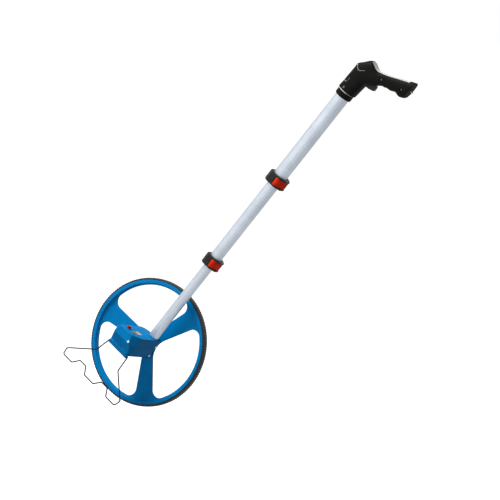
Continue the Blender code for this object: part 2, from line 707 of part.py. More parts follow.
def housing_base(root):
    """Lower shell with the hinge barrel for the stand and posts for the counter frame."""
    base = add("housing_base", base_block(0.0, SEAM_HEIGHT), root, BLUE, 0.35)
    barrel = rod(HINGE_RADIUS, GAP - HOUSING_LEFT, HOUSING_RIGHT - GAP, 24, "X")
    join(base, barrel, (0.0, HINGE_PLACE, HINGE_HEIGHT))
    cut(base, base_block(HOUSING_WALL, SEAM_HEIGHT + OVERRUN))
    middle = (HOUSING_RIGHT - HOUSING_LEFT) / 2
    half = (HOUSING_RIGHT + HOUSING_LEFT) / 2
    for start, end in ((-half - OVERRUN, STAND_ENTRY + GAP - half),
                       (half - STAND_ENTRY - GAP, half + OVERRUN)):
        cut(base, rod(WIRE_RADIUS + GAP, start, end, 10, "X"),
            (middle, HINGE_PLACE, HINGE_HEIGHT))
    for side in (-FRAME_HALF, FRAME_HALF / 2):
        post = rod(LAY_SHAFT_RADIUS, -HOUSING_FLOOR + HOUSING_WALL / 2, frame_floor() - GAP, 12)
        join(base, post, (COUNTER_SIDE + side, -COUNTER_MIDDLE, 0.0))
    cut(base, rear_hole())
    cut(base, rod(BRAKE_PIN_RADIUS + GAP, -HOUSING_REAR - REAR_RADIUS, OVERRUN, 16, "Y"),
        (-BRAKE_PIN_SIDE, 0.0, -BRAKE_PIN_DROP))
    cut(base, rod(SCREW_SHANK + GAP, -HOUSING_WALL - OVERRUN, OVERRUN, 12, "X"),
        screw_places()[1])


def window(root):
    """The clear plate let into the sloping top over the drums."""
    rim = WINDOW_FLANGE
    plate = block((-WINDOW_WIDTH / 2 - rim, -WINDOW_LENGTH / 2 - rim, -WINDOW_DEPTH),
                  (WINDOW_WIDTH / 2 + rim, WINDOW_LENGTH / 2 + rim, 0.0))
    add("counter_window", tilted(plate), root, CLEAR, 0.08,
        at=(COUNTER_SIDE, -COUNTER_MIDDLE, top_at(COUNTER_SIDE)))


def reset_button(root):
    """A round push button with a retaining flange and a stem."""
    place = (-BUTTON_SIDE, -BUTTON_PLACE, top_at(-BUTTON_SIDE))
    pivot = empty("reset_pivot", root, place)
    flange_top = -HOUSING_WALL - RUN_GAP
    flange = flange_top - BUTTON_FLANGE
    radius = BUTTON_RADIUS
    profile = [(0, flange - BUTTON_STEM), (radius / 2, flange - BUTTON_STEM),
               (radius / 2, flange), (radius + BUTTON_FLANGE, flange),
               (radius + BUTTON_FLANGE, flange_top), (radius, flange_top),
               (radius, BUTTON_RISE - BUTTON_FLANGE / 2),
               (radius - BUTTON_FLANGE / 2, BUTTON_RISE), (0, BUTTON_RISE)]
    add("reset_button", tilted(turned(profile, 20)), pivot, RED, 0.35)


def bracket(root):
    """The bent plate that holds the axle and the tube's foot, with its screw flange."""
    rear = BRACKET_SHEET - BRACKET_FRONT
    right = HOUSING_RIGHT - HOUSING_WALL - GAP
    plate = side_prism([(-BRACKET_LEFT, -BRACKET_FOOT), (right, -BRACKET_FOOT),
                        (right, BRACKET_TOP), (-BRACKET_LEFT, BRACKET_TOP)],
                       -BRACKET_FRONT, rear)
    piece = add("axle_bracket", plate, root, STEEL, 0.4, 1.0)
    flange = block((right - BRACKET_SHEET, -BRACKET_FRONT + GAP, -BRACKET_FOOT),
                   (right, -HOUSING_REAR - FRONT_RADIUS + GAP, BRACKET_TOP))
    join(piece, flange)
    cut(piece, rod(AXLE_RADIUS + GAP, -BRACKET_FRONT - OVERRUN, OVERRUN, 32, "Y"))
    cut(piece, rod(BOLT_RADIUS + GAP, -BRACKET_FRONT - OVERRUN, OVERRUN, 16, "Y"),
        (TUBE_SIDE, 0.0, -BOLT_DROP))
    for side, back, height in screw_places():
        cut(piece, rod(SCREW_SHANK + GAP, -2 * BRACKET_SHEET - OVERRUN, OVERRUN, 12, "X"),
            (side, back, height))


def fasteners(root):
    """Side screws, front screw and the bolt through the tube's foot."""
    reach = HOUSING_WALL + GAP + BRACKET_SHEET
    for index, (side, back, height) in enumerate(screw_places()):
        profile = [(0, -reach), (SCREW_SHANK, -reach), (SCREW_SHANK, GAP), (SCREW_RADIUS, GAP),
                   (SCREW_RADIUS, GAP + SCREW_HEAD / 2),
                   (SCREW_RADIUS * SCREW_CROWN_SHARE, GAP + SCREW_HEAD), (0, GAP + SCREW_HEAD)]
        add("side_screw_%d" % (index + 1), turned(profile, 12, "X"), root, STEEL, 0.3, 1.0,
            at=(side, back, height))
    front = TUBE_BACK - LOWER_RADIUS - GAP
    end = BRACKET_SHEET - BRACKET_FRONT
    profile = [(0, front - BOLT_HEAD_HEIGHT), (BOLT_HEAD, front - BOLT_HEAD_HEIGHT),
               (BOLT_HEAD, front), (BOLT_RADIUS, front), (BOLT_RADIUS, end), (0, end)]
    add("tube_bolt", turned(profile, 16, "Y"), root, STEEL, 0.3, 1.0,
        at=(TUBE_SIDE, 0.0, -BOLT_DROP))
    tip = FRONT_SCREW_REACH
    profile = [(0, -GAP - SCREW_HEAD), (SCREW_RADIUS * SCREW_CROWN_SHARE, -GAP - SCREW_HEAD),
               (SCREW_RADIUS, -GAP - SCREW_HEAD / 2), (SCREW_RADIUS, -GAP), (SCREW_SHANK, -GAP),
               (SCREW_SHANK, tip), (0, tip)]
    add("front_screw", turned(profile, 12, "Y"), root, STEEL, 0.3, 1.0,
        at=(FRONT_SCREW_SIDE, -HOUSING_FRONT, FRONT_SCREW_HEIGHT))


def counter(root):
    """Frame, shafts, layshaft, number drums and carry pinions, each turning on its pivot."""
    drums = drum_axis()
    lay = lay_axis()
    rear = counter_rear()
    length = DRUM_COUNT * DRUM_PITCH
    cheek = rear + GEAR_WIDTH + RUN_GAP
    far = rear - length - FRAME_SHEET
    floor = frame_floor()
    left = lay.x - LAY_SHAFT_RADIUS * 2
    right = drums.x + FRAME_HALF
    top = drums.y + DRUM_BOSS / 2
    frame = add("counter_frame", block((left, far, floor), (right, cheek + FRAME_SHEET, top)),
                root, STEEL, 0.4, 1.0)
    cut(frame, block((left - OVERRUN, far + FRAME_SHEET, floor + FRAME_SHEET),
                     (right + OVERRUN, cheek, top + OVERRUN)))
    pin = drums - Vector((0.0, carry_drop()))
    for spot, radius in ((drums, SHAFT_RADIUS), (pin, PIN_RADIUS)):
        cut(frame, rod(radius + GAP, far - OVERRUN, 0.0, 16, "Y"), (spot.x, 0.0, spot.y))
    notch = LAY_SHAFT_RADIUS + GAP
    cut(frame, block((lay.x - notch, cheek - OVERRUN, lay.y - notch),
                     (lay.x + notch, cheek + FRAME_SHEET + OVERRUN, top + OVERRUN)))
    for name, spot, radius in (("drum_shaft", drums, SHAFT_RADIUS),
                               ("carry_pinion_shaft", pin, PIN_RADIUS)):
        add(name, rod(radius, far, cheek + FRAME_SHEET, 16, "Y"), root, STEEL, 0.3, 1.0,
            at=(spot.x, 0.0, spot.y))
    layshaft(root, lay, rear)
    for index in range(DRUM_COUNT):
        start = rear - index * DRUM_PITCH
        pivot = empty("drum_%d_pivot" % (index + 1), root, (drums.x, start, drums.y))
        neck = DRUM_PITCH - GAP
        profile = [(SHAFT_RADIUS + GAP, -neck), (DRUM_BOSS, -neck), (DRUM_BOSS, -DRUM_WIDTH),
                   (DRUM_RADIUS, -DRUM_WIDTH), (DRUM_RADIUS, -GAP), (SHAFT_RADIUS + GAP, -GAP)]
        drum = add("number_drum_%d" % (index + 1), turned(profile, 24, "Y"), pivot, BLACK, 0.5)
        if index == 0:
            teeth = gear_outline(DRIVE_TEETH, GEAR_MODULE)
            gear = side_prism(teeth, -DRUM_WIDTH / 2, GEAR_WIDTH)
            gear.transform(Matrix.Rotation(-drum_turn(), 4, "Y"))
            join(drum, gear)
            cut(drum, rod(SHAFT_RADIUS + GAP, -length, OVERRUN, 16, "Y"))
    for index in range(DRUM_COUNT - 1):
        middle = rear - index * DRUM_PITCH - (DRUM_WIDTH + DRUM_PITCH) / 2
        pivot = empty("carry_%d_pivot" % (index + 1), root, (pin.x, middle, pin.y))
        teeth = star(CARRY_TEETH, carry_radius(), carry_radius() * CARRY_ROOT_SHARE)
        pinion = add("carry_pinion_%d" % (index + 1),
                     side_prism(teeth, -CARRY_WIDTH / 2, CARRY_WIDTH / 2), pivot, PALE, 0.5)
        cut(pinion, rod(PIN_RADIUS + GAP, -OVERRUN, OVERRUN, 12, "Y"))


def star(count, outer, inner):
    """A toothed outline of alternating radii."""
    turns = [math.pi * step / count for step in range(2 * count)]
    radii = [outer if step % 2 == 0 else inner for step in range(2 * count)]
    return [(r * math.cos(t), r * math.sin(t)) for r, t in zip(radii, turns)]


def layshaft(root, lay, rear):
    """The long shaft with a gear at each end, from the wheel's gear to the first drum."""
    pivot = empty("layshaft_pivot", root, (lay.x, 0.0, lay.y))
    front = gear_front()
    back = front + GEAR_WIDTH
    stub = -HOUSING_REAR - GAP
    profile = [(0, rear + GAP), (LAY_SHAFT_RADIUS, rear + GAP), (LAY_SHAFT_RADIUS, back),
               (SHAFT_RADIUS, back), (SHAFT_RADIUS, stub), (0, stub)]
    shaft = add("counter_layshaft", turned(profile, 16, "Y"), pivot, PALE, 0.5)
    for start, end in ((front, back), (rear + 2 * GAP, rear + GEAR_WIDTH - GAP)):
        gear = side_prism(gear_outline(LAY_TEETH, GEAR_MODULE), start, end)
        gear.transform(Matrix.Rotation(-lay_turn(), 4, "Y"))
        join(shaft, gear)


def brake(root):
    """The brake arm on its pin, with a pad shaped to the hub."""
    rear = -HOUSING_REAR + RUN_GAP
    pivot = empty("brake_pivot", root, (-BRAKE_PIN_SIDE, 0.0, -BRAKE_PIN_DROP))
    pad_face = HUB_RADIUS + BRAKE_GAP
    seat = -(pad_face + BRAKE_PAD_DEPTH)
    foot = seat - BRAKE_ARM_WIDTH
    eye = BRAKE_EYE
    knee = BRAKE_PIN_SIDE - 2 * eye
    outline = [(-eye, eye / 2), (-eye / 2, eye), (eye / 2, eye),
               (knee / 2, seat + BRAKE_PIN_DROP), (BRAKE_PIN_SIDE + BRAKE_END,
                                                  seat + BRAKE_PIN_DROP),
               (BRAKE_PIN_SIDE + BRAKE_END, foot + BRAKE_PIN_DROP),
               (eye, foot + BRAKE_PIN_DROP), (-eye, -eye)]
    arm = add("brake_arm", side_prism(outline, rear, rear + BRAKE_THICKNESS), pivot,
              STEEL, 0.4, 1.0)
    cut(arm, rod(BRAKE_PIN_RADIUS + GAP, rear - OVERRUN, rear + BRAKE_THICKNESS + OVERRUN,
                 16, "Y"))
    half = BRAKE_PAD_SPAN / 2
    face = arc((0.0, 0.0), pad_face, -math.pi / 2 - half, -math.pi / 2 + half, 8)
    outline = face + [(face[-1][0], seat + GAP), (face[0][0], seat + GAP)]
    add("brake_pad", side_prism(outline, rear, rear + BRAKE_THICKNESS), pivot, BLACK, 0.8,
        at=(BRAKE_PIN_SIDE, 0.0, BRAKE_PIN_DROP))
    end = rear + BRAKE_THICKNESS + RUN_GAP
    wall = -HOUSING_REAR - REAR_RADIUS / 2
    head = BRAKE_EYE / 2 + RUN_GAP
    profile = [(0, wall), (BRAKE_PIN_RADIUS, wall), (BRAKE_PIN_RADIUS, end), (head, end),
               (head, end + BRAKE_GAP), (0, end + BRAKE_GAP)]
    add("brake_pin", turned(profile, 16, "Y"), root, STEEL, 0.3, 1.0,
        at=(-BRAKE_PIN_SIDE, 0.0, -BRAKE_PIN_DROP))


def fluted(radius, bore, start, end):
    """A tube drawn with shallow lengthwise flutes outside."""
    count = FLUTE_COUNT * 4
    bm = bmesh.new()
    loops = []
    for reach, height in ((bore, start), (radius, start), (radius, end), (bore, end)):
        ring = []
        for step in range(count):
            turn = 2 * math.pi * step / count
            out = reach - TUBE_FLUTE if reach > bore and step % 4 == 0 else reach
            ring.append(bm.verts.new((out * math.cos(turn), out * math.sin(turn), height)))
        loops.append(ring)
    for first, second in zip(loops, loops[1:] + loops[:1]):
        for step in range(count):
            after = (step + 1) % count
            bm.faces.new((first[step], first[after], second[after], second[step]))
    return bm


def tubes(root, middle, upper):
    """Three tubes, each sliding over the one below, and a bush on top of the two thinner."""
    length = CLAMP_LOWER_FOOT + TUBE_OVERLAP + TUBE_FOOT
    bore = LOWER_RADIUS - TUBE_WALL
    lower = add("lower_tube", fluted(LOWER_RADIUS, bore, 0.0, length), root, SILVER, 0.4,
                1.0, at=(TUBE_SIDE, TUBE_BACK, -TUBE_FOOT))
    cut(lower, rod(BOLT_RADIUS + GAP, -2 * LOWER_RADIUS, 2 * LOWER_RADIUS, 16, "Y"),
        (0.0, 0.0, TUBE_FOOT - BOLT_DROP))
    foot = CLAMP_FLANGE + GAP
    length = CLAMP_LENGTH + MIDDLE_SHOWN + TUBE_OVERLAP
    add("middle_tube", fluted(MIDDLE_RADIUS, MIDDLE_RADIUS - TUBE_WALL, foot, length), middle,
        SILVER, 0.4, 1.0)
    length = CLAMP_LENGTH + UPPER_SHOWN + HANDLE_SOCKET
    add("upper_tube", fluted(UPPER_RADIUS, UPPER_RADIUS - TUBE_WALL, foot, length), upper,
        SILVER, 0.4, 1.0)
    place = (TUBE_SIDE, TUBE_BACK, CLAMP_LOWER_FOOT + TUBE_OVERLAP)
    bush("lower_bush", LOWER_RADIUS, MIDDLE_RADIUS, root, place)
    place = (0.0, 0.0, CLAMP_LENGTH + MIDDLE_SHOWN + TUBE_OVERLAP)
    bush("middle_bush", MIDDLE_RADIUS, UPPER_RADIUS, middle, place)


def bush(name, inside, outside, parent, place):
    """A plastic sleeve on a tube's top end that runs in the next tube."""
    outer = outside - TUBE_WALL - GAP
    rim = inside - TUBE_WALL
    profile = [(inside + GAP, -BUSH_LENGTH), (outer, -BUSH_LENGTH), (outer, BUSH_RIM),
               (rim, BUSH_RIM), (rim, GAP), (inside + GAP, GAP)]
    add(name, turned(profile, 24), parent, BLACK, 0.6, at=place)


def clamp(name, inside, outside, parent):
    """A collar moulded on a tube's foot, its lever in a pocket between two flanges."""
    half = outside + CLAMP_WALL
    sleeve = outside + CLAMP_SLEEVE
    reach = sleeve + GAP + LEVER_KNUCKLE
    right = reach + LEVER_KNUCKLE
    ear = half * CLAMP_EAR_SHARE
    cant = half * CLAMP_CHAMFER_SHARE
    corners = [(right, -ear), (right, ear), (cant, half), (-cant, half), (-half, cant),
               (-half, -cant), (-cant, -half), (cant, -half)]
    outline = rounded(corners, [CLAMP_ROUND] * len(corners), 3)
    collar = add(name + "_clamp", prism(outline, 0.0, CLAMP_LENGTH), parent, BLACK, 0.5)
    top = CLAMP_LENGTH - CLAMP_FLANGE
    sweep = arc((0.0, 0.0), sleeve, POCKET_START, POCKET_END, 8)
    back = arc((0.0, 0.0), 2 * right, POCKET_END, POCKET_START, 6)
    cut(collar, prism(sweep + back, CLAMP_FLANGE, top))
    cut(collar, rod(inside + GAP, -OVERRUN, CLAMP_LENGTH, 28))
    cut(collar, rod(outside + GAP, CLAMP_FLANGE, CLAMP_LENGTH + OVERRUN, 28))
    pin = Vector((reach * math.cos(LEVER_PIN_ANGLE), reach * math.sin(LEVER_PIN_ANGLE), 0.0))
    hole = LEVER_PIN_RADIUS + GAP
    cut(collar, rod(hole, -OVERRUN, CLAMP_LENGTH + OVERRUN, 12), pin)
    pivot = empty(name + "_lever_pivot", parent, pin)
    near = sleeve + LEVER_STANDOFF
    far = near + LEVER_THICKNESS
    tip = LEVER_END - LEVER_THICKNESS / far / 2
    blade = arc((0.0, 0.0), near, LEVER_START, LEVER_END, 8)
    blade += [((near + far) / 2 * math.cos(tip), (near + far) / 2 * math.sin(tip))]
    blade += arc((0.0, 0.0), far, LEVER_END, LEVER_START, 8)
    low = CLAMP_FLANGE + GAP
    high = top - GAP
    lever = add(name + "_lever", prism(blade, low, high), pivot, RED, 0.4, at=-pin)
    join(lever, rod(LEVER_KNUCKLE, low, high, 16), pin)
    cut(lever, rod(hole, -OVERRUN, CLAMP_LENGTH + OVERRUN, 12), pin)
    add(name + "_lever_pin", rod(LEVER_PIN_RADIUS, 0.0, CLAMP_LENGTH, 12), parent, STEEL,
        0.3, 1.0, at=pin)
    return pivot


def grip_sections():
    """The handle's sections, those of the grip drawn out to its reach."""
    drawn = SECTIONS[-1][0][0]
    placed = []
    for index, section in enumerate(SECTIONS):
        points = []
        for side, (out, height) in enumerate(section):
            root = SECTIONS[GRIP_FIRST][side][0]
            tip = SECTIONS[-1][side][0]
            if index > GRIP_FIRST:
                end = GRIP_REACH + tip - drawn
                out = root + (out - root) / (tip - root) * (end - root)
            points.append((out, height))
        placed.append(tuple(points))
    return placed


def grip_half_width(place):
    """The handle's half width along its sections, from the barrel to the grip."""
    share = place / (len(SECTIONS) - 1)
    blend = min(1.0, max(0.0, (share - BARREL_END_SHARE) / BARREL_BLEND_SHARE))
    return BARREL_HALF_WIDTH + (GRIP_HALF_WIDTH - BARREL_HALF_WIDTH) * blend


def grip_body(low, high):
    """The handle lofted through its sections, between two sides of the seam plane."""
    bm = bmesh.new()
    rings = []
    for place, (back, front) in enumerate(grip_sections()):
        middle = (Vector(back) + Vector(front)) / 2
        half = (Vector(back) - Vector(front)) / 2
        width = grip_half_width(place)
        ring = []
        turns = SECTION_STEPS
        power = 2 / SECTION_POWER
        for step in range(turns + 1):
            turn = math.pi * step / turns
            reach = abs(math.cos(turn)) ** power * (1 if math.cos(turn) >= 0 else -1)
            point = middle + half * reach
            side = max(math.sin(turn), 0.0) ** power * width
            ring.append((point.x, side, point.y))
        rings.append(ring)
    if low < 0 < high:
        rings = [ring + [(x, -y, z) for x, y, z in reversed(ring[1:-1])] for ring in rings]
    else:
        rings = [[(x, (GAP / 2 + y) * (1 if high > 0 else -1), z) for x, y, z in ring]
                 for ring in rings]
    made = [[bm.verts.new(point) for point in ring] for ring in rings]
    count = len(made[0])
    for first, second in zip(made, made[1:]):
        for step in range(count):
            after = (step + 1) % count
            bm.faces.new((first[step], first[after], second[after], second[step]))
    bm.faces.new(made[0])
    bm.faces.new(made[-1])
    return bm


def strap_band(grow):
    """The strap's band along the grip's back, seen from the side."""
    backs = [Vector(back) for back, front in grip_sections()]
    end = GRIP_REACH - STRAP_TAIL
    upper = [point for point in backs if STRAP_START - GAP < point.x < end]
    first = Vector((STRAP_START - grow, 0.0))
    last = Vector((end + grow, 0.0))
    for point in (first, last):
        for one, two in zip(backs[GRIP_FIRST:], backs[GRIP_FIRST + 1:]):
            if one.x <= point.x <= two.x:
                point.y = one.y + (two.y - one.y) * (point.x - one.x) / (two.x - one.x)
    inner = [first] + [point for point in upper if first.x < point.x < last.x] + [last]
    depth = STRAP_DEPTH + grow
    under = [(point.x, point.y - depth) for point in inner]
    over = [(point.x, point.y + depth) for point in reversed(inner)]
    return under + over


def trigger_outline():
    """The trigger about its pin: an eye, and a chin under the finger."""
    eye = TRIGGER_EYE
    return [(-eye, 0.0), (-eye / 2, -eye), (TRIGGER_ROOT, -TRIGGER_DROP),
            (TRIGGER_REACH / 2, -TRIGGER_DROP), (TRIGGER_REACH, -TRIGGER_DROP + eye),
            (TRIGGER_REACH, 0.0), (TRIGGER_REACH - eye, TRIGGER_LIFT), (0.0, eye),
            (-eye / 2, eye)]


def handle(upper):
    """Collar, two grip halves, trigger on its pin, back strap, lanyard loop and screws."""
    base = Vector((0.0, 0.0, CLAMP_LENGTH + UPPER_SHOWN))
    inner = UPPER_RADIUS + GAP
    ring = turned([(inner, 0.0), (COLLAR_RADIUS - HUB_CHAMFER, 0.0), (COLLAR_RADIUS, HUB_CHAMFER),
                   (COLLAR_RADIUS, COLLAR_HEIGHT), (inner, COLLAR_HEIGHT)], 32)
    add("handle_collar", ring, upper, BLACK, 0.5, at=base)
    pin = (TRIGGER_PIN_SIDE, 0.0, TRIGGER_PIN_RISE)
    pin_half = TRIGGER_HALF_WIDTH + TRIGGER_EYE
    slot_back = TRIGGER_PIN_SIDE - TRIGGER_SLOT_BACK
    slot_front = TRIGGER_PIN_SIDE + TRIGGER_REACH + RUN_GAP
    slot_foot = TRIGGER_PIN_RISE - TRIGGER_DROP - TRIGGER_EYE
    slot_top = TRIGGER_PIN_RISE + TRIGGER_SLOT_TOP
    slot = [(slot_back, TRIGGER_PIN_RISE - TRIGGER_SLOT_FOOT),
            (TRIGGER_PIN_SIDE + TRIGGER_EYE, slot_foot), (slot_front, slot_foot),
            (slot_front, slot_top), (slot_back, slot_top)]
    for name, low, high in (("handle_left", -1, 0), ("handle_right", 0, 1)):
        side = 1 if high > 0 else -1
        half = add(name, grip_body(low, high), upper, BLACK, 0.5, at=base)
        cut(half, rod(inner, -OVERRUN, HANDLE_SOCKET + GAP, 32))
        width = TRIGGER_HALF_WIDTH + RUN_GAP
        cut(half, side_prism(slot, -width, width))
        cut(half, rod(LEVER_PIN_RADIUS + GAP, -pin_half - GAP, pin_half + GAP, 12, "Y"), pin)
        width = STRAP_HALF_WIDTH + GAP
        cut(half, side_prism(strap_band(GAP), -width, width))
        start = GRIP_REACH - LOOP_STANDS
        cut(half, rod(LOOP_WIRE + GAP, start - GAP, GRIP_REACH + OVERRUN, 12, "X"),
            (0.0, side * LOOP_HALF, LOOP_RISE))
        if side < 0:
            for place in HANDLE_SCREWS:
                spot = (place[0], -place[2], place[1])
                cut(half, rod(SCREW_RADIUS + GAP, -SCREW_SINK, SCREW_HEAD, 14, "Y"), spot)
                cut(half, rod(SCREW_SHANK + GAP, 0.0, 2 * place[2], 12, "Y"), spot)
        else:
            for place in HANDLE_SCREWS[1:]:
                spot = (place[0], 0.0, place[1])
                cut(half, rod(SCREW_SHANK + GAP, -OVERRUN, place[3] + GAP, 12, "Y"), spot)
    first = HANDLE_SCREWS[0]
    cut(bpy.data.objects["upper_tube"], rod(SCREW_SHANK + GAP, -2 * UPPER_RADIUS, first[3] + GAP,
                                            12, "Y"), base + Vector((first[0], 0.0, first[1])))
    for index, place in enumerate(HANDLE_SCREWS):
        head = -place[2] + SCREW_HEAD - GAP
        profile = [(0, head - SCREW_HEAD), (SCREW_RADIUS * SCREW_CROWN_SHARE, head - SCREW_HEAD),
                   (SCREW_RADIUS, head - SCREW_HEAD / 2), (SCREW_RADIUS, head),
                   (SCREW_SHANK, head), (SCREW_SHANK, place[3]), (0, place[3])]
        add("handle_screw_%d" % (index + 1), turned(profile, 12, "Y"), upper, STEEL, 0.3, 1.0,
            at=base + Vector((place[0], 0.0, place[1])))
    strap = add("back_strap", grip_body(-1, 1), upper, PALE, 0.5, at=base)
    combine(strap, side_prism(strap_band(0.0), -STRAP_HALF_WIDTH, STRAP_HALF_WIDTH),
            "INTERSECT")
    pivot = empty("trigger_pivot", upper, base + Vector(pin))
    blade = side_prism(trigger_outline(), -TRIGGER_HALF_WIDTH, TRIGGER_HALF_WIDTH)
    blade = add("trigger", blade, pivot, BLACK, 0.5)
    cut(blade, rod(LEVER_PIN_RADIUS + GAP, -pin_half, pin_half, 12, "Y"))
    add("trigger_pin", rod(LEVER_PIN_RADIUS, -pin_half, pin_half, 12, "Y"), upper, STEEL,
        0.3, 1.0, at=base + Vector(pin))
    start = GRIP_REACH - LOOP_STANDS
    end = GRIP_REACH + LOOP_STANDS
    path = rounded([(start, LOOP_HALF), (end, LOOP_HALF), (end, -LOOP_HALF),
                    (start, -LOOP_HALF)], [0, LOOP_HALF - GAP, LOOP_HALF - GAP, 0], 5)
    add("lanyard_loop", wire([Vector((x, y, 0.0)) for x, y in path], LOOP_WIRE,
                             Vector((0.0, 0.0, 1.0)), 8),
        upper, STEEL, 0.3, 1.0, at=base + Vector((0.0, 0.0, LOOP_RISE)))
    return pivot


def wire(path, radius, normal, segments):
    """A round wire along a path that lies in one plane."""
    bm = bmesh.new()
    rings = []
    for index, point in enumerate(path):
        before = path[max(index - 1, 0)]
        after = path[min(index + 1, len(path) - 1)]
        into = (point - before).normalized() if index else (after - point).normalized()
        out = (after - point).normalized() if index < len(path) - 1 else into
        along = (into + out).normalized()
        side = normal.cross(along) / max(along.dot(out), GAP)
        ring = []
        for step in range(segments):
            turn = 2 * math.pi * step / segments
            spoke = side * math.cos(turn) + normal * math.sin(turn)
            ring.append(bm.verts.new(point + spoke * radius))
        rings.append(ring)
    for first, second in zip(rings, rings[1:]):
        for step in range(segments):
            after = (step + 1) % segments
            bm.faces.new((first[step], first[after], second[after], second[step]))
    bm.faces.new(rings[0])
    bm.faces.new(rings[-1])
    return bm


def stand(root):
    """The folding stand, bent from one wire whose ends turn in the hinge barrel."""
    middle = (HOUSING_RIGHT - HOUSING_LEFT) / 2
    half = (HOUSING_RIGHT + HOUSING_LEFT) / 2
    beside = half + WIRE_RADIUS + RUN_GAP
    notch = STAND_REACH - STAND_NOTCH_DEPTH
    corners = [(half - STAND_ENTRY, 0.0), (beside, 0.0),
               (beside + STAND_KNEE_SPREAD, STAND_KNEE), (STAND_HALF_WIDTH, STAND_SHOULDER),
               (STAND_HALF_WIDTH - STAND_TOE_TUCK, STAND_REACH), (STAND_TOE_HALF, STAND_REACH),
               (STAND_NOTCH_OUTER, notch), (STAND_NOTCH_INNER, notch),
               (STAND_MIDDLE_TOE, STAND_REACH)]
    corners += [(-out, down) for out, down in reversed(corners)]
    radii = [0.0, HINGE_BEND] + [STAND_BEND] * (len(corners) - 4) + [HINGE_BEND, 0.0]
    down = Vector((0.0, -math.sin(STAND_SPLAY), -math.cos(STAND_SPLAY)))
    across = Vector((1.0, 0.0, 0.0))
    path = [across * out + down * drop for out, drop in rounded(corners, radii, 3)]
    pivot = empty("kickstand_pivot", root, (middle, HINGE_PLACE, HINGE_HEIGHT))
    bm = wire(path, WIRE_RADIUS, across.cross(down), 8)
    add("kickstand", bm, pivot, STEEL, 0.3, 1.0)
    return pivot


def lowest(piece, turn, offset):
    """How low a piece reaches once the whole object is turned about the axle's cross line."""
    return min((vert.co.y + offset.y) * math.sin(turn) + (vert.co.z + offset.z) * math.cos(turn)
               for vert in piece.data.vertices)


def lean(root):
    """Leans the object onto its stand and sets it on the floor, centred on its own box."""
    wheel = bpy.data.objects["tyre"]
    foot = bpy.data.objects["kickstand"]
    low = 0.0
    high = STAND_SPLAY * 2
    for _ in range(SETTLE_STEPS):
        turn = (low + high) / 2
        if lowest(wheel, turn, Vector()) < lowest(foot, turn, foot.parent.location):
            low = turn
        else:
            high = turn
    root.rotation_euler.x = turn
    bpy.context.view_layer.update()
    graph = bpy.context.evaluated_depsgraph_get()
    corners = []
    for item in bpy.data.objects:
        if item.type == "MESH" and not item.hide_render:
            shaped = item.evaluated_get(graph)
            corners += [item.matrix_world @ vert.co for vert in shaped.data.vertices]
    sides = [corner.x for corner in corners]
    backs = [corner.y for corner in corners]
    root.location = (-(min(sides) + max(sides)) / 2, -(min(backs) + max(backs)) / 2,
                     -min(corner.z for corner in corners))
    bpy.context.view_layer.update()


def build():
    """Clears the scene and builds the whole object under one root."""
    for item in list(bpy.data.objects):
        bpy.data.objects.remove(item)
    root = empty("measuring_wheel", None, (0.0, 0.0, 0.0))
    spin = empty("wheel_pivot", root, (0.0, 0.0, 0.0))
    middle = empty("middle_slide", root, (TUBE_SIDE, TUBE_BACK, CLAMP_LOWER_FOOT))
    upper = empty("upper_slide", middle, (0.0, 0.0, CLAMP_LENGTH + MIDDLE_SHOWN))
    wheel_disc(spin)
    tyre(spin)
    hub(spin)
    axle(root)
    housing_base(root)
    housing_cover(root)
    window(root)
    reset_button(root)
    bracket(root)
    fasteners(root)
    counter(root)
    brake(root)
    tubes(root, middle, upper)
    clamp("lower", LOWER_RADIUS, MIDDLE_RADIUS, middle)
    clamp("upper", MIDDLE_RADIUS, UPPER_RADIUS, upper)
    handle(upper)
    stand(root)
    lean(root)


build()
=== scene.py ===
# Looks of a measuring wheel: moulded blue wheel and counter housing, drawn aluminium tubes,
# black lever clamps and grip, a bent wire stand. Shapes are made upright about the wheel's
# hub, from sizes in millimetres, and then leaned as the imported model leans.
import math

import bmesh
import bpy
from mathutils import Matrix, Vector


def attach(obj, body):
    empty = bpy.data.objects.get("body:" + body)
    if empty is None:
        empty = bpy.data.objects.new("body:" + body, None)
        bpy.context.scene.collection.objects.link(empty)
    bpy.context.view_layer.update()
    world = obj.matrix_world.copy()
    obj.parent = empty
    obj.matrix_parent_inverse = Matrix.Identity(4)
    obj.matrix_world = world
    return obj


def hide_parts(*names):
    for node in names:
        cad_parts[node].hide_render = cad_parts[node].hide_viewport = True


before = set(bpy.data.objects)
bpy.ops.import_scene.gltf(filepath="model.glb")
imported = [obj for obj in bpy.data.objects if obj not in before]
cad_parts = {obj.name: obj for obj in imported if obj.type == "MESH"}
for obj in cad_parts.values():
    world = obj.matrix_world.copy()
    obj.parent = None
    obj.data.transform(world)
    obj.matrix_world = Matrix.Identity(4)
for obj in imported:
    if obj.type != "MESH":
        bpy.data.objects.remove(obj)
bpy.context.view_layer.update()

MM = 0.001
WELD = 0.002 * MM
# Where the hub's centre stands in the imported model, and how far the object leans
HUB_PLACE = Vector((0.0, 0.0968654, 0.1573404))
LEAN_ANGLE = math.radians(11.26119)
LEAN = Matrix.Translation(HUB_PLACE) @ Matrix.Rotation(LEAN_ANGLE, 4, "X")


# Colour and material helpers
def colour(code):
    """An sRGB hex colour as linear values."""
    parts = [int(code[i:i + 2], 16) / 255 for i in (1, 3, 5)]
    return (*(c / 12.92 if c <= 0.04045 else ((c + 0.055) / 1.055) ** 2.4 for c in parts), 1.0)


def node(tree, kind, links=(), **settings):
    """Adds a node, sets its values by property or socket name, and links its inputs."""
    made = tree.nodes.new(kind)
    for key, value in settings.items():
        if hasattr(made, key):
            setattr(made, key, value)
        else:
            made.inputs[key.replace("_", " ")].default_value = value
    for target, source in links:
        tree.links.new(source, made.inputs[target])
    return made


def surface(tree):
    """Object coordinates in metres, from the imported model's origin."""
    return node(tree, "ShaderNodeTexCoord").outputs["Object"]


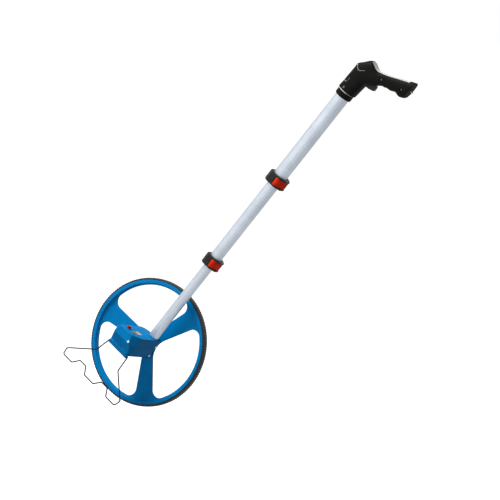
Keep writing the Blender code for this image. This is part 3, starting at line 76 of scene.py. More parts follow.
def grain(tree, shader, cell, depth, strength, drawn_lines=False):
    """A fine relief that deep, from noise cells or from lines that run along the tube."""
    where = surface(tree)
    if drawn_lines:
        where = node(tree, "ShaderNodeMapping", [("Vector", where)],
                     Rotation=(-LEAN_ANGLE, 0.0, 0.0), Scale=(1.0, 1.0, 0.02)).outputs["Vector"]
    noise = node(tree, "ShaderNodeTexNoise", [("Vector", where)], Scale=1 / (cell * MM),
                 Detail=2.0 if drawn_lines else 3.0, Roughness=0.6)
    bump = node(tree, "ShaderNodeBump", [("Height", noise.outputs["Fac"])],
                Strength=strength, Distance=depth * MM)
    tree.links.new(bump.outputs["Normal"], shader.inputs["Normal"])


def mottle(tree, shader, light, dark, cell):
    """Slow drift between two close colours."""
    noise = node(tree, "ShaderNodeTexNoise", [("Vector", surface(tree))],
                 Scale=1 / (cell * MM), Detail=5.0, Roughness=0.55)
    ramp = node(tree, "ShaderNodeValToRGB", [("Fac", noise.outputs["Fac"])])
    for stop, place, code in zip(ramp.color_ramp.elements, (0.35, 0.7), (dark, light)):
        stop.position = place
        stop.color = colour(code)
    tree.links.new(ramp.outputs["Color"], shader.inputs["Base Color"])


def gloss_drift(tree, shader, low, high, cell):
    """Handling marks: roughness that wanders between two values."""
    noise = node(tree, "ShaderNodeTexNoise", [("Vector", surface(tree))],
                 Scale=1 / (cell * MM), Detail=4.0)
    span = node(tree, "ShaderNodeMapRange", [("Value", noise.outputs["Fac"])],
                From_Min=0.3, From_Max=0.7, To_Min=low, To_Max=high)
    tree.links.new(span.outputs["Result"], shader.inputs["Roughness"])


def finish(name, base, rough, relief=None, tones=None, drift=None, **more):
    """A Principled material. Relief is (cell, depth, strength), tones are (light, dark, cell)
    and drift in gloss is (low, high, cell), with cells and depth in real millimetres."""
    material = bpy.data.materials.new(name)
    material.use_nodes = True
    tree = material.node_tree
    shader = tree.nodes["Principled BSDF"]
    shader.inputs["Base Color"].default_value = colour(base)
    for socket, value in {"Roughness": rough, **more}.items():
        shader.inputs[socket.replace("_", " ")].default_value = value
    for effect, values in ((grain, relief), (mottle, tones), (gloss_drift, drift)):
        if values:
            effect(tree, shader, *values)
    return material


def blue_abs():
    """Blue ABS, injection moulded: semi-gloss, faint orange peel, scuffed a little lighter."""
    return finish("blue_abs_moulded", "#0069AE", 0.36, (0.9, 0.012, 0.5),
                  ("#007EC0", "#0076B4", 38), (0.34, 0.46, 14), IOR=1.53,
                  Specular_IOR_Level=0.0, Coat_Weight=0.08, Coat_Roughness=0.22)


def tyre_rubber():
    """Black natural rubber, moulded: matt, dusty grey on the crown of the ribs."""
    return finish("tyre_rubber_moulded", "#101112", 0.60, (0.6, 0.05, 0.7),
                  ("#1B1C1E", "#0C0D0E", 6), IOR=1.52, Specular_IOR_Level=0.3)


def drawn_aluminium():
    """Drawn aluminium tube, clear anodised: fine lines along its length, soft highlights."""
    return finish("anodised_aluminium", "#B3BAC3", 0.5, (0.7, 0.015, 0.35, True),
                  ("#B3BAC3", "#A9B0B9", 60), (0.45, 0.57, 20), Metallic=1.0)


def nylon(name, base, dark, rough, shine=0.2):
    """Glass-filled nylon or acetal, spark-eroded mould: a fine satin grain."""
    return finish(name, base, rough, (0.55, 0.045, 0.8), (base, dark, 22),
                  (rough - 0.07, rough + 0.08, 9), IOR=1.53, Specular_IOR_Level=shine)


def red_acetal(name, base, dark, rough):
    """Acetal, red, moulded: waxy satin, with a slow drift of shade."""
    return finish(name, base, rough, (0.8, 0.015, 0.5), (base, dark, 11),
                  (rough - 0.05, rough + 0.06, 7), IOR=1.48, Specular_IOR_Level=0.12)


def pale_rubber():
    """Thermoplastic rubber, pale grey, overmoulded on the back of the grip: soft and dull. Also the
    colour of the painted highlights on the collar's top and in the grip's grooves.
    """
    return finish("pale_strap_rubber_and_painted_highlight", "#BDBDB9", 0.58, (0.5, 0.03, 0.6),
                  ("#C4C4C0", "#B4B4B0", 16), IOR=1.5, Specular_IOR_Level=0.15)


def plated_steel(name, base, dark, rough, cell=3, edge="#FFFFFF"):
    """Zinc-plated steel: bright, cloudy where the plating varies."""
    return finish(name, base, rough, (0.4, 0.008, 0.5), (base, dark, cell),
                  (rough - 0.06, rough + 0.10, 4), Metallic=1.0, Specular_Tint=colour(edge))


def clear_acrylic():
    """Clear acrylic: smooth, nearly invisible save for its highlights."""
    return finish("clear_acrylic", "#F4F8F8", 0.06, (6.0, 0.01, 0.2), IOR=1.49,
                  Specular_IOR_Level=0.15, Transmission_Weight=1.0)


MATS = {
    "blue": blue_abs(),
    "tyre": tyre_rubber(),
    "tube": drawn_aluminium(),
    "black": nylon("black_nylon_moulded", "#0E0E0C", "#090908", 0.52),
    "grip": nylon("black_grip_nylon", "#0B0B09", "#070706", 0.56, 0.06),
    "red": red_acetal("red_acetal_lever", "#EE2E06", "#DC2805", 0.42),
    "button": red_acetal("red_acetal_button", "#B0101A", "#8E0C14", 0.30),
    # The strap's pale rubber, also used as painted highlight on the collar and in the grip's
    # grooves
    "strap": pale_rubber(),
    "bright": plated_steel("bright_zinc_plate", "#D6D7D6", "#B9BAB8", 0.24),
    "wire": plated_steel("dark_steel_wire", "#26282B", "#1B1D1F", 0.52, 5, "#1E2022"),
    "dull": plated_steel("dull_zinc_plate", "#6E7072", "#525456", 0.42),
    "sheet": plated_steel("zinc_plated_sheet", "#B4B6B6", "#9C9EA0", 0.38, 9),
    "pale": nylon("natural_acetal_gear", "#DAD9D2", "#CBCAC2", 0.46, 0.5),
    "ink": nylon("white_printed_figures", "#F0F0EC", "#E4E4E0", 0.5),
    "clear": clear_acrylic(),
}


# Shape helpers, which take their sizes in millimetres
CUT, JOIN, KEEP = "DIFFERENCE", "UNION", "INTERSECT"
LAID = {"X": Matrix.Rotation(math.radians(90), 4, "Y"),
        "Y": Matrix.Rotation(math.radians(-90), 4, "X"), "Z": Matrix()}
SWAPPED = {"X": Matrix(((0, 0, 1, 0), (1, 0, 0, 0), (0, 1, 0, 0), (0, 0, 0, 1))),
           "Y": Matrix(((1, 0, 0, 0), (0, 0, 1, 0), (0, 1, 0, 0), (0, 0, 0, 1))), "Z": Matrix()}


def placed(name, data):
    """A new object in the scene."""
    made = bpy.data.objects.new(name, data)
    bpy.context.scene.collection.objects.link(made)
    return made


def meshed(bm, name):
    """The mesh of a shape, which is freed."""
    mesh = bpy.data.meshes.new(name)
    bm.to_mesh(mesh)
    bm.free()
    return mesh


def merged(*shapes):
    """Several shapes in one."""
    bm = bmesh.new()
    for shape in shapes:
        bm.from_mesh(meshed(shape, "part"))
    return bm


def taken(holder):
    """The shape of a curve or text object, which is removed."""
    bpy.context.view_layer.update()
    shown = holder.evaluated_get(bpy.context.evaluated_depsgraph_get())
    bm = bmesh.new()
    bm.from_mesh(bpy.data.meshes.new_from_object(shown))
    bpy.data.objects.remove(holder)
    return bm


def outward(bm):
    """Turns every face of a closed shape to look outward."""
    bmesh.ops.recalc_face_normals(bm, faces=bm.faces)
    if bm.calc_volume(signed=True) < 0:
        bmesh.ops.reverse_faces(bm, faces=bm.faces)


def metres(*place):
    """A place given in millimetres, as a vector in metres."""
    return Vector([value * MM for value in place])


def moved(bm, *way):
    """Shifts a shape."""
    bmesh.ops.translate(bm, verts=bm.verts, vec=metres(*way))
    return bm


def piece(name, bm, mat, body, stands_for, angle=35, extra=()):
    """Leans a shape, makes it an object with its finish, and lets it ride on a body."""
    bmesh.ops.remove_doubles(bm, verts=bm.verts, dist=WELD)
    outward(bm)
    bm.transform(LEAN)
    mesh = meshed(bm, name)
    mesh.shade_smooth()
    mesh.set_sharp_from_angle(angle=math.radians(angle))
    for finish_name in (mat, *extra):
        mesh.materials.append(MATS[finish_name])
    made = placed(name, mesh)
    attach(made, body)
    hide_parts(stands_for)


def turned(profile, segments=64, axis="Z", at=(0, 0, 0)):
    """A solid turned from a closed outline of (radius, height) points."""
    bm = bmesh.new()
    points = [bm.verts.new((radius * MM, 0.0, height * MM)) for radius, height in profile]
    edges = [bm.edges.new(pair) for pair in zip(points, points[1:] + points[:1])
             if max(pair[0].co.x, pair[1].co.x) > 0.01 * MM]
    bmesh.ops.spin(bm, geom=points + edges, cent=(0, 0, 0), axis=(0, 0, 1),
                   angle=2 * math.pi, steps=segments, use_merge=True, use_duplicate=False)
    bmesh.ops.remove_doubles(bm, verts=bm.verts, dist=WELD)
    bm.transform(LAID[axis])
    return moved(bm, *at)


def soft_profile(profile, radius=0.5, steps=2):
    """Rounds every corner of a closed outline by a small radius, sparing the axis."""
    points = []
    for index, place in enumerate(profile):
        here = Vector(place)
        back = Vector(profile[index - 1]) - here
        ahead = Vector(profile[(index + 1) % len(profile)]) - here
        if min(here.x, back.length, ahead.length) < 0.01:
            points.append(tuple(here))
            continue
        reach = min(radius, back.length * 0.45, ahead.length * 0.45)
        first = here + back.normalized() * reach
        last = here + ahead.normalized() * reach
        for step in range(steps + 1):
            t = step / steps
            points.append(tuple(first * (1 - t) ** 2 + here * 2 * t * (1 - t) + last * t * t))
    return points


def rod(radius, start, end, sides=24, axis="Z", at=(0, 0, 0), tip=None, ease=0, steps=3):
    """A round bar, or a cone when its tip is given, with eased rims when asked."""
    tip = radius if tip is None else tip
    profile = [(0, start), (radius, start), (tip, end), (0, end)]
    if ease:
        profile = soft_profile(profile, ease, steps)
    return turned(profile, sides, axis, at)


def drawn(outline, start, end, way="Z"):
    """A flat outline extruded: in XY up Z, in XZ along Y, or in YZ along X."""
    bm = bmesh.new()
    face = bm.faces.new([bm.verts.new((a * MM, b * MM, start * MM)) for a, b in outline])
    out = bmesh.ops.extrude_face_region(bm, geom=[face])
    bmesh.ops.translate(bm, verts=[v for v in out["geom"] if isinstance(v, bmesh.types.BMVert)],
                        vec=(0, 0, (end - start) * MM))
    bm.transform(SWAPPED[way])
    outward(bm)
    return bm


def soften(bm, width, segments=2, angle=30, choose=None):
    """Rounds the sharp edges of a shape."""
    edges = [e for e in bm.edges if len(e.link_faces) == 2
             and math.degrees(e.calc_face_angle(0)) > angle and (choose is None or choose(e))]
    bmesh.ops.bevel(bm, geom=edges, offset=width * MM, offset_type="OFFSET", segments=segments,
                    profile=0.5, affect="EDGES", material=-1, clamp_overlap=True)
    return bm


def rise(edge):
    """The heights of an edge's two ends, the lower one first."""
    return sorted(vert.co.z / MM for vert in edge.verts)


def arc(centre, radius, start, end, steps):
    """Points along an arc."""
    turns = [start + (end - start) * step / steps for step in range(steps + 1)]
    return [(centre[0] + radius * math.cos(t), centre[1] + radius * math.sin(t)) for t in turns]


def rounded(corners, radii, steps=8):
    """A polygon whose corners are rounded, each by its own radius."""
    points = []
    for index, corner in enumerate(corners):
        here = Vector(corner)
        back = (Vector(corners[index - 1]) - here).normalized()
        ahead = (Vector(corners[(index + 1) % len(corners)]) - here).normalized()
        half = math.acos(max(-1.0, min(1.0, back.dot(ahead)))) / 2
        if radii[index] <= 0:
            points.append(tuple(here))
            continue
        start = here + back * radii[index] / math.tan(half)
        middle = here + (back + ahead).normalized() * radii[index] / math.sin(half)
        side = 1 if back.x * ahead.y - back.y * ahead.x < 0 else -1
        spoke = start - middle
        for step in range(steps + 1):
            turn = side * (math.pi - 2 * half) * step / steps
            points.append((middle.x + spoke.x * math.cos(turn) - spoke.y * math.sin(turn),
                           middle.y + spoke.x * math.sin(turn) + spoke.y * math.cos(turn)))
    return points


def slab(left, low, right, high, radius, steps, start, end, way="Z"):
    """A plate between two corners, its own four corners rounded."""
    corners = [(left, low), (right, low), (right, high), (left, high)]
    return drawn(rounded(corners, [radius] * 4, steps), start, end, way)


def carved(target, *tools):
    """Cuts shapes out of a shape, or does with them what their mark says, in turn."""
    outward(target)
    body = placed("host", meshed(target, "host"))
    helpers = []
    for tool in tools:
        how, shape = tool if isinstance(tool, tuple) else (CUT, tool)
        outward(shape)
        helpers.append(placed("tool", meshed(shape, "tool")))
        step = body.modifiers.new("carve", "BOOLEAN")
        step.operation = how
        step.solver = "EXACT"
        step.object = helpers[-1]
    bpy.context.view_layer.update()
    shaped = body.evaluated_get(bpy.context.evaluated_depsgraph_get())
    bm = bmesh.new()
    bm.from_mesh(shaped.data)
    for item in helpers + [body]:
        bpy.data.objects.remove(item)
    return bm


def wire(points, radius, sides):
    """A round wire along points, swept by a curve and kept as a mesh."""
    data = bpy.data.curves.new("wire", "CURVE")
    data.dimensions = "3D"
    data.bevel_depth = radius * MM
    data.bevel_resolution = sides
    data.use_fill_caps = True
    line = data.splines.new("POLY")
    line.points.add(len(points) - 1)
    for point, place in zip(line.points, points):
        point.co = (*(value * MM for value in place), 1.0)
    return taken(placed("wire", data))


# Floor, light and camera
VIEW_DISTANCE = 16.0
PIXELS_PER_METRE = 409.0
PICTURE_WIDTH = 500
SENSOR_WIDTH = 36.0
WORLD_LEVEL = 0.09
FLOOR_LIFT = 0.93
# Name, direction from the object, distance, width, watts, tint
LAMPS = [("over_lamp", (-0.62, -0.45, 0.64), 2.6, 1.5, 98, (1.0, 0.99, 0.97)),
         ("front_fill", (0.14, -0.96, 0.22), 3.2, 2.4, 18, (0.96, 0.98, 1.0)),
         ("back_fill", (0.1, 0.9, 0.5), 3.2, 2.4, 8, (0.97, 0.99, 1.0))]
LAMPS_FACE = (0.063, -0.02, 0.35)
CAMERA_FACES = (0.0633, -0.0089, 0.3544)


def seen_by(tree, *rays):
    """Gives 1 to any of these kinds of ray, and 0 to the light that falls on the object."""
    path = node(tree, "ShaderNodeLightPath")
    seen = path.outputs[rays[0]]
    for ray in rays[1:]:
        seen = node(tree, "ShaderNodeMath", [(0, seen), (1, path.outputs[ray])],
                    operation="MAXIMUM").outputs[0]
    return seen


def white_room(scene):
    """A dim sky for the object's light, which the camera sees as plain white."""
    world = bpy.data.worlds.new("white_room")
    scene.world = world
    world.use_nodes = True
    tree = world.node_tree
    back = tree.nodes["Background"]
    back.inputs["Color"].default_value = (0.90, 0.95, 1.0, 1.0)
    back.inputs["Strength"].default_value = WORLD_LEVEL
    plain = node(tree, "ShaderNodeBackground", Color=(1, 1, 1, 1), Strength=1.0)
    seen = seen_by(tree, "Is Camera Ray", "Is Transmission Ray", "Is Glossy Ray")
    mix = node(tree, "ShaderNodeMixShader", [("Fac", seen), (1, back.outputs[0]),
                                             (2, plain.outputs[0])])
    tree.links.new(mix.outputs[0], tree.nodes["World Output"].inputs["Surface"])


def white_floor():
    """A wide matt floor, lifted to white where it is looked at, that keeps the shadow."""
    bm = bmesh.new()
    bmesh.ops.create_grid(bm, x_segments=1, y_segments=1, size=30)
    floor = placed("studio_floor", meshed(bm, "studio_floor"))
    material = finish("matt_white_floor", "#C4C4C4", 0.9)
    tree = material.node_tree
    shader = tree.nodes["Principled BSDF"]
    lift = node(tree, "ShaderNodeMath", [(0, seen_by(tree, "Is Camera Ray", "Is Glossy Ray"))],
                operation="MULTIPLY")
    lift.inputs[1].default_value = FLOOR_LIFT
    shader.inputs["Emission Color"].default_value = (1, 1, 1, 1)
    tree.links.new(lift.outputs[0], shader.inputs["Emission Strength"])
    floor.data.materials.append(material)


def lamps():
    """A broad lamp over the picture's top, and two soft fills."""
    for name, way, distance, size, power, tint in LAMPS:
        light = bpy.data.lights.new(name, "AREA")
        light.shape = "DISK"
        light.size = size
        light.energy = power
        light.color = tint
        lamp = placed(name, light)
        out = (LEAN.to_3x3() @ Vector(way)).normalized()
        lamp.location = LEAN @ Vector(LAMPS_FACE) + out * distance
        lamp.rotation_euler = out.to_track_quat("Z", "Y").to_euler()


def telephoto(scene):
    """The photograph's view: from far off, turned as solved from the wheel's ellipse."""
    right = Vector((0.6560, 0.4607, 0.5976))
    up = Vector((-0.6520, -0.0524, 0.7564))
    aside = right.cross(up).normalized()
    right = up.cross(aside).normalized()
    turn = LEAN.to_3x3()
    data = bpy.data.cameras.new("telephoto")
    camera = placed("telephoto", data)
    data.lens = SENSOR_WIDTH * VIEW_DISTANCE / (PICTURE_WIDTH / PIXELS_PER_METRE)
    data.clip_end = 100
    camera.rotation_euler = (turn @ Matrix((right, up, aside)).transposed()).to_euler()
    camera.location = LEAN @ Vector(CAMERA_FACES) + (turn @ aside) * VIEW_DISTANCE
    scene.camera = camera


bpy.context.scene.view_settings.view_transform = "Standard"
white_room(bpy.context.scene)
white_floor()
lamps()
telephoto(bpy.context.scene)


# The wheel: rim, web and hub in one moulding, tyre and cap
TYRE_R = 159.1549
SEAT_R = TYRE_R - 6.5
BEAD_R = TYRE_R - 5.1
LIP_R = SEAT_R - 6.4
HUB_R = 19.0
SPOKE_TURN = math.radians(66.3)
RIBS = 150
RIB_DEPTH = 0.75


def opening():
    """The window between two spokes, seen from the side, its middle on +X."""
    half = math.pi / 3
    edge = half - math.radians(5.3)
    rim_round = 20.0
    outer = LIP_R - 4.2
    start = Vector((math.sin(half), -math.cos(half))) * 11.5
    along_spoke = Vector((math.cos(edge), math.sin(edge)))
    inward = Vector((math.sin(edge), -math.cos(edge)))
    reach = start + inward * rim_round
    run = along_spoke.dot(reach)
    inner = outer - rim_round
    corner = reach + along_spoke * (math.sqrt(run * run - reach.dot(reach) + inner * inner)
                                    - run)
    turn = math.atan2(corner.y, corner.x)
    upper = arc(corner, rim_round, turn, edge + math.pi / 2, 16)
    root = start.x - start.y / math.tan(edge)
    hub_round = 48.0
    hub_end = arc((root + hub_round / math.sin(edge), 0.0), hub_round, edge + math.pi / 2,
                  math.pi, 16)
    side = upper + hub_end
    mirrored = [(x, -y) for x, y in reversed(side[:-1])]
    return side + mirrored + arc((0, 0), outer, -turn, turn, 48)[1:-1]


def wheel():
    """Profile turned about the axle, three windows cut through and their edges eased."""
    rim = 10.0
    web = 2.1
    bore = 13.6
    profile = [(bore, -11.0), (HUB_R - 0.2, -11.0), (HUB_R, -10.0), (HUB_R + 0.4, -3.4),
               (HUB_R + 1.6, -web), (LIP_R - 3.2, -web), (LIP_R - 1.5, -web - 1.2),
               (LIP_R - 0.5, -rim + 0.2), (LIP_R + 0.4, -rim), (BEAD_R - 0.3, -rim),
               (BEAD_R, -rim + 0.4), (BEAD_R, -rim + 1.1), (SEAT_R, -rim + 1.1),
               (SEAT_R, rim - 1.1), (BEAD_R, rim - 1.1), (BEAD_R, rim - 0.4),
               (BEAD_R - 0.3, rim), (LIP_R + 0.4, rim), (LIP_R - 0.5, rim - 0.2),
               (LIP_R - 1.5, web + 1.2), (LIP_R - 3.2, web), (HUB_R + 1.6, web),
               (HUB_R + 0.4, 3.4), (HUB_R, 9.6), (HUB_R - 0.2, 10.5), (bore, 10.5)]
    disc = turned(soft_profile(profile, 1.2, 3), 192, "Y")
    windows = []
    for spoke in range(3):
        window = drawn(opening(), -20, 20, "Y")
        turn = SPOKE_TURN + (spoke + 0.5) * 2 * math.pi / 3
        window.transform(Matrix.Rotation(-turn, 4, "Y"))
        windows.append(window)
    disc = carved(disc, *windows)
    bmesh.ops.remove_doubles(disc, verts=disc.verts, dist=0.01 * MM)
    ring = []
    for edge in disc.edges:
        radii = [math.hypot(v.co.x, v.co.z) / MM for v in edge.verts]
        flat = all(abs(abs(v.co.y) - web * MM) < 0.05 * MM for v in edge.verts)
        if flat and min(radii) > 22 and max(radii) < LIP_R - 3.9 \
                and len(edge.link_faces) == 2 and edge.calc_face_angle(0) > 1.2:
            ring.append(edge)
    bmesh.ops.bevel(disc, geom=ring, offset=0.7 * MM, offset_type="OFFSET", segments=3,
                    profile=0.5, affect="EDGES", material=-1, clamp_overlap=True)
    piece("wheel_moulding", disc, "blue", "wheel", "wheel_disc", 24)


def tyre():
    """A ribbed ring: cross ribs with rounded crowns on a plain carcass."""
    seat = SEAT_R + 0.3
    wall = BEAD_R + 0.3
    half = 8.6
    profile = [(seat, -8.5), (wall, -8.5), (wall + 0.9, -half), (TYRE_R - 2.4, -half + 0.1),
               (TYRE_R - 1.0, -half + 0.7), (TYRE_R - 0.25, -half + 1.7), (TYRE_R, -5.4),
               (TYRE_R, -0.7), (TYRE_R - 0.6, -0.35), (TYRE_R - 0.6, 0.35), (TYRE_R, 0.7),
               (TYRE_R, 5.4), (TYRE_R - 0.25, half - 1.7), (TYRE_R - 1.0, half - 0.7),
               (TYRE_R - 2.4, half - 0.1), (wall + 0.9, half), (wall, 8.5), (seat, 8.5)]
    ring = turned(profile, RIBS * 4, "Y")
    for vert in ring.verts:
        radius = math.hypot(vert.co.x, vert.co.z) / MM
        depth = min(1.0, max(0.0, (radius - TYRE_R + 2.6) / 1.6))
        step = round(math.atan2(vert.co.z, vert.co.x) / (2 * math.pi / (RIBS * 4))) % 4
        if depth > 0 and step in (0, 1) and abs(vert.co.y) > 0.5 * MM:
            shrink = 1 - depth * RIB_DEPTH / radius
            vert.co = (vert.co.x * shrink, vert.co.y, vert.co.z * shrink)
    piece("tyre_ring", ring, "tyre", "wheel", "tyre", 30)


def hub_cap():
    """A shallow cap with two turned rings and a sunk middle, snapped over the rear bearing."""
    start = 10.8
    end = start + 6.4
    profile = [(0, end - 1.9), (0, end - 0.6), (5.2, end - 0.6), (5.6, end), (11.0, end),
               (11.2, end - 0.35), (12.0, end - 0.35), (12.2, end), (HUB_R - 1.5, end),
               (HUB_R, end - 1.5), (HUB_R, start), (HUB_R - 1.4, start),
               (HUB_R - 1.4, end - 1.9)]
    cap = turned(soft_profile(profile, 0.3, 2), 96, "Y")
    piece("hub_cap_moulding", cap, "black", "wheel", "hub_cap", 30)


wheel()
tyre()
hub_cap()


# The counter housing
TOP_SLOPE = math.radians(6.7)
TOP_RISE = 26.6
LEFT, RIGHT, FRONT, REAR = -32.0, 31.0, -142.0, -12.4
SEAM = 4.8
FLOOR = -25.0
WALL = 2.2
CORNER_CUT = 7.7
SCREW_HOLE = 1.7
NOSE_HOLE = 7.3
HINGE = (-0.5, -122.0, -26.6)
TUBE_AT = (16.0, -36.4)
WINDOW_AT = (3.0, -104.0)
BUTTON_AT = (-16.5, -113.0)
LAYSHAFT_AT = (-12.379, 10.137)
FRONT_SCREW = (17.2, FRONT, 9.5)
SIDE_SCREWS = ((RIGHT, -18.8, 9.5), (RIGHT, -18.8, -18.5))


def top_at(side):
    """The height of the sloping top, so far to the side."""
    return TOP_RISE + side * math.tan(TOP_SLOPE)


DRUMS_AT = (3.0, top_at(3.0) - 12.4)


def on_top(bm, place):
    """Lays a shape built level onto the sloping top at a place."""
    bm.transform(Matrix.Rotation(-TOP_SLOPE, 4, "Y"))
    return moved(bm, *place, top_at(place[0]))


def plan(inset):
    """The housing's outline from above, drawn in by an inset and rounded in metres."""
    corners = [metres(LEFT + inset, FRONT + inset), metres(RIGHT - inset, FRONT + inset),
               metres(RIGHT - inset, REAR - inset), metres(LEFT + inset, REAR - inset)]
    radii = [max(0.0, corner - inset) * MM for corner in (4, 0, 4, 19)]
    return [(x / MM, y / MM) for x, y in rounded(corners, radii, 10)]


def sliced(bm, place, normal):
    """Takes away everything beyond a plane through a place in metres, and closes the cut."""
    out = bmesh.ops.bisect_plane(bm, geom=bm.verts[:] + bm.edges[:] + bm.faces[:],
                                 plane_co=place, plane_no=normal, clear_outer=True)
    rim = [e for e in out["geom_cut"] if isinstance(e, bmesh.types.BMEdge)]
    bmesh.ops.holes_fill(bm, edges=rim)
    outward(bm)


def cover_form(inset, foot):
    """The cover's outside, or its hollow: sloping top, cut front corner, eased edges."""
    bm = drawn(plan(inset), foot, foot + TOP_RISE)
    for vert in bm.verts:
        if vert.co.z > (foot + 0.3) * MM:
            vert.co.z = (top_at(vert.co.x / MM) - inset) * MM
    top = metres(RIGHT - 17.2, FRONT, top_at(RIGHT - 17.2))
    rear = metres(RIGHT, FRONT + 29, top_at(RIGHT))
    low = metres(RIGHT - CORNER_CUT, FRONT, SEAM)
    normal = (low - top).cross(rear - top).normalized()
    normal = normal if normal.x > 0 else -normal
    sliced(bm, top - normal * (inset * MM), normal)
    if inset == 0:
        soften(bm, 0.7, 2, 40, lambda e: rise(e)[0] < foot + 18 and rise(e)[1] > foot + 5)
        soften(bm, 2.0, 4, 25, lambda e: any(f.normal.z > 0.985 for f in e.link_faces))
    return bm


def side_screw_tools(place):
    """The hole and the dished seat of a screw in the housing's side."""
    return [rod(SCREW_HOLE, -6, 3, 24, "X", place), rod(3.6, -0.5, 1, 32, "X", place, 4.0)]


def cover():
    """Upper shell with its window, button well, tube collar and screw seats."""
    collar = soft_profile([(11.0, 14), (15.6, 14), (14.6, 31.4), (11.0, 31.4)], 0.6, 3)
    well = soft_profile([(5.0, -2), (9.0, -2), (8.3, 0.9), (5.0, 0.9)], 0.4, 2)
    pane_bed = soften(slab(-7.4, -21.4, 7.4, 21.4, 1.2, 4, -1.7, 3), 0.1, 1)
    shell = carved(
        cover_form(0.0, SEAM + 0.3), (JOIN, turned(collar, 64, "Z", (*TUBE_AT, 0))),
        (JOIN, on_top(turned(well, 48), BUTTON_AT)),
        (JOIN, rod(5.6, 0.5, -0.9, 40, "Y", FRONT_SCREW, 5.0)), cover_form(WALL, -SEAM),
        on_top(pane_bed, WINDOW_AT),
        on_top(slab(-5.5, -19.5, 5.5, 19.5, 1.0, 4, -8, 3), WINDOW_AT),
        on_top(rod(6.7, -9, 5, 48), BUTTON_AT), rod(12.8, -1, 60, 64, "Z", (*TUBE_AT, 0)),
        rod(NOSE_HOLE, -20, 0, 48, "Y"),
        rod(1.8, -20, 0, 24, "Y", (LAYSHAFT_AT[0], 0, LAYSHAFT_AT[1])),
        *side_screw_tools(SIDE_SCREWS[0]), rod(SCREW_HOLE, -4, 6, 24, "Y", FRONT_SCREW))
    piece("housing_cover_moulding", shell, "blue", "frame", "housing_cover", 28)


def base_form(inset, top):
    """The base's outside, or its hollow, drawn in by an inset."""
    bm = drawn(plan(inset), FLOOR + inset, top)
    upper = metres(0.0, FRONT + 1.2, SEAM)
    lower = metres(0.0, HINGE[1] - 6, HINGE[2])
    slope = (lower - upper).normalized()
    front = Vector((0.0, slope.z, -slope.y))
    sliced(bm, upper - front * (inset * 2.6 * MM), front)
    side = Vector((29.0, -CORNER_CUT, 0.0)).normalized()
    sliced(bm, metres(RIGHT - CORNER_CUT, FRONT, 0.0) - side * (inset * MM), side)
    return bm


def base():
    """Lower shell: scooped front under the seam's ledge, and the stand's hinge barrel."""
    shell = base_form(0.0, SEAM)
    soften(shell, 0.8, 3, 30, lambda e: rise(e)[1] < SEAM - 1)
    scoop = drawn([(FRONT - 9, 2.9), (-137.2, 2.9), (-136.4, 2.2), (-127.4, -18.0),
                   (-127.6, -20.2), (-131.0, -23.4), (FRONT - 9, -23.4)],
                  LEFT - 5, RIGHT + 5, "X")
    tools = [scoop, (JOIN, rod(6.0, -31.2, 31.2, 48, "X", HINGE, ease=0.6)),
             base_form(WALL, SEAM + 4)]
    for side in (-11.5, 5.75):
        post_at = (WINDOW_AT[0] + side, WINDOW_AT[1], 0)
        tools.append((JOIN, rod(2.5, FLOOR + 1, -4.6, 24, "Z", post_at)))
    tools += [rod(1.9, -36.0, -17.2, 24, "X", HINGE), rod(1.9, 17.2, 36.0, 24, "X", HINGE),
              rod(NOSE_HOLE, -35, 0, 48, "Y"), rod(1.9, -35, 0, 48, "Y", (-25.0, 0, -18.2))]
    tools += side_screw_tools(SIDE_SCREWS[1])
    tools.append(slab(-22, -100, 20, -36, 4, 6, FLOOR - 1, FLOOR + 0.6))
    piece("housing_base_moulding", carved(shell, *tools), "blue", "frame", "housing_base", 28)


def button():
    """A domed push knob on its flange and stem."""
    top = 7.2
    profile = [(0, -9.3), (2.2, -9.3), (2.4, -4.3), (6.4, -4.3), (6.4, -2.7), (4.8, -2.7),
               (4.8, top - 1.6), (4.2, top - 0.5), (2.6, top), (0, top + 0.05)]
    knob = on_top(turned(soft_profile(profile, 0.7, 3), 40), BUTTON_AT)
    piece("reset_button_knob", knob, "button", "reset", "reset_button", 35)


cover()
base()
button()


# The counter's drums, their window and the housing's screws
DRUM_R = 9.0
FIRST_DRUM = -84.5
DRUM_STEP = 7.2
GEAR_TEETH = 18
LAYSHAFT_TEETH = 14


def digit(value):
    """One figure as a thin printed skin, wrapped round a drum about +Y."""
    data = bpy.data.curves.new("figure", "FONT")
    data.body = str(value)
    data.size = 5.3 * MM
    data.extrude = 0.06 * MM
    data.align_x = "CENTER"
    data.align_y = "CENTER"
    data.resolution_u = 3
    bm = taken(placed("figure", data))
    bmesh.ops.remove_doubles(bm, verts=bm.verts, dist=0.003 * MM)
    tall = max(v.co.y for v in bm.verts) + min(v.co.y for v in bm.verts)
    wide = max(v.co.x for v in bm.verts) + min(v.co.x for v in bm.verts)
    bmesh.ops.translate(bm, verts=bm.verts, vec=(-wide / 2, -tall / 2, 0))
    for step in range(-4, 5):
        bmesh.ops.bisect_plane(bm, geom=bm.verts[:] + bm.edges[:] + bm.faces[:],
                               plane_co=(0, step * 0.45 * MM, 0), plane_no=(0, 1, 0))
    for vert in bm.verts:
        across, up, lift = vert.co
        turn = -up / (DRUM_R * MM) + value * math.radians(36)
        out = DRUM_R * MM + lift
        vert.co = (out * math.sin(turn), across * 0.86, out * math.cos(turn))
    for face in bm.faces:
        face.material_index = 1
    return moved(bm, 0, -2.45, 0)


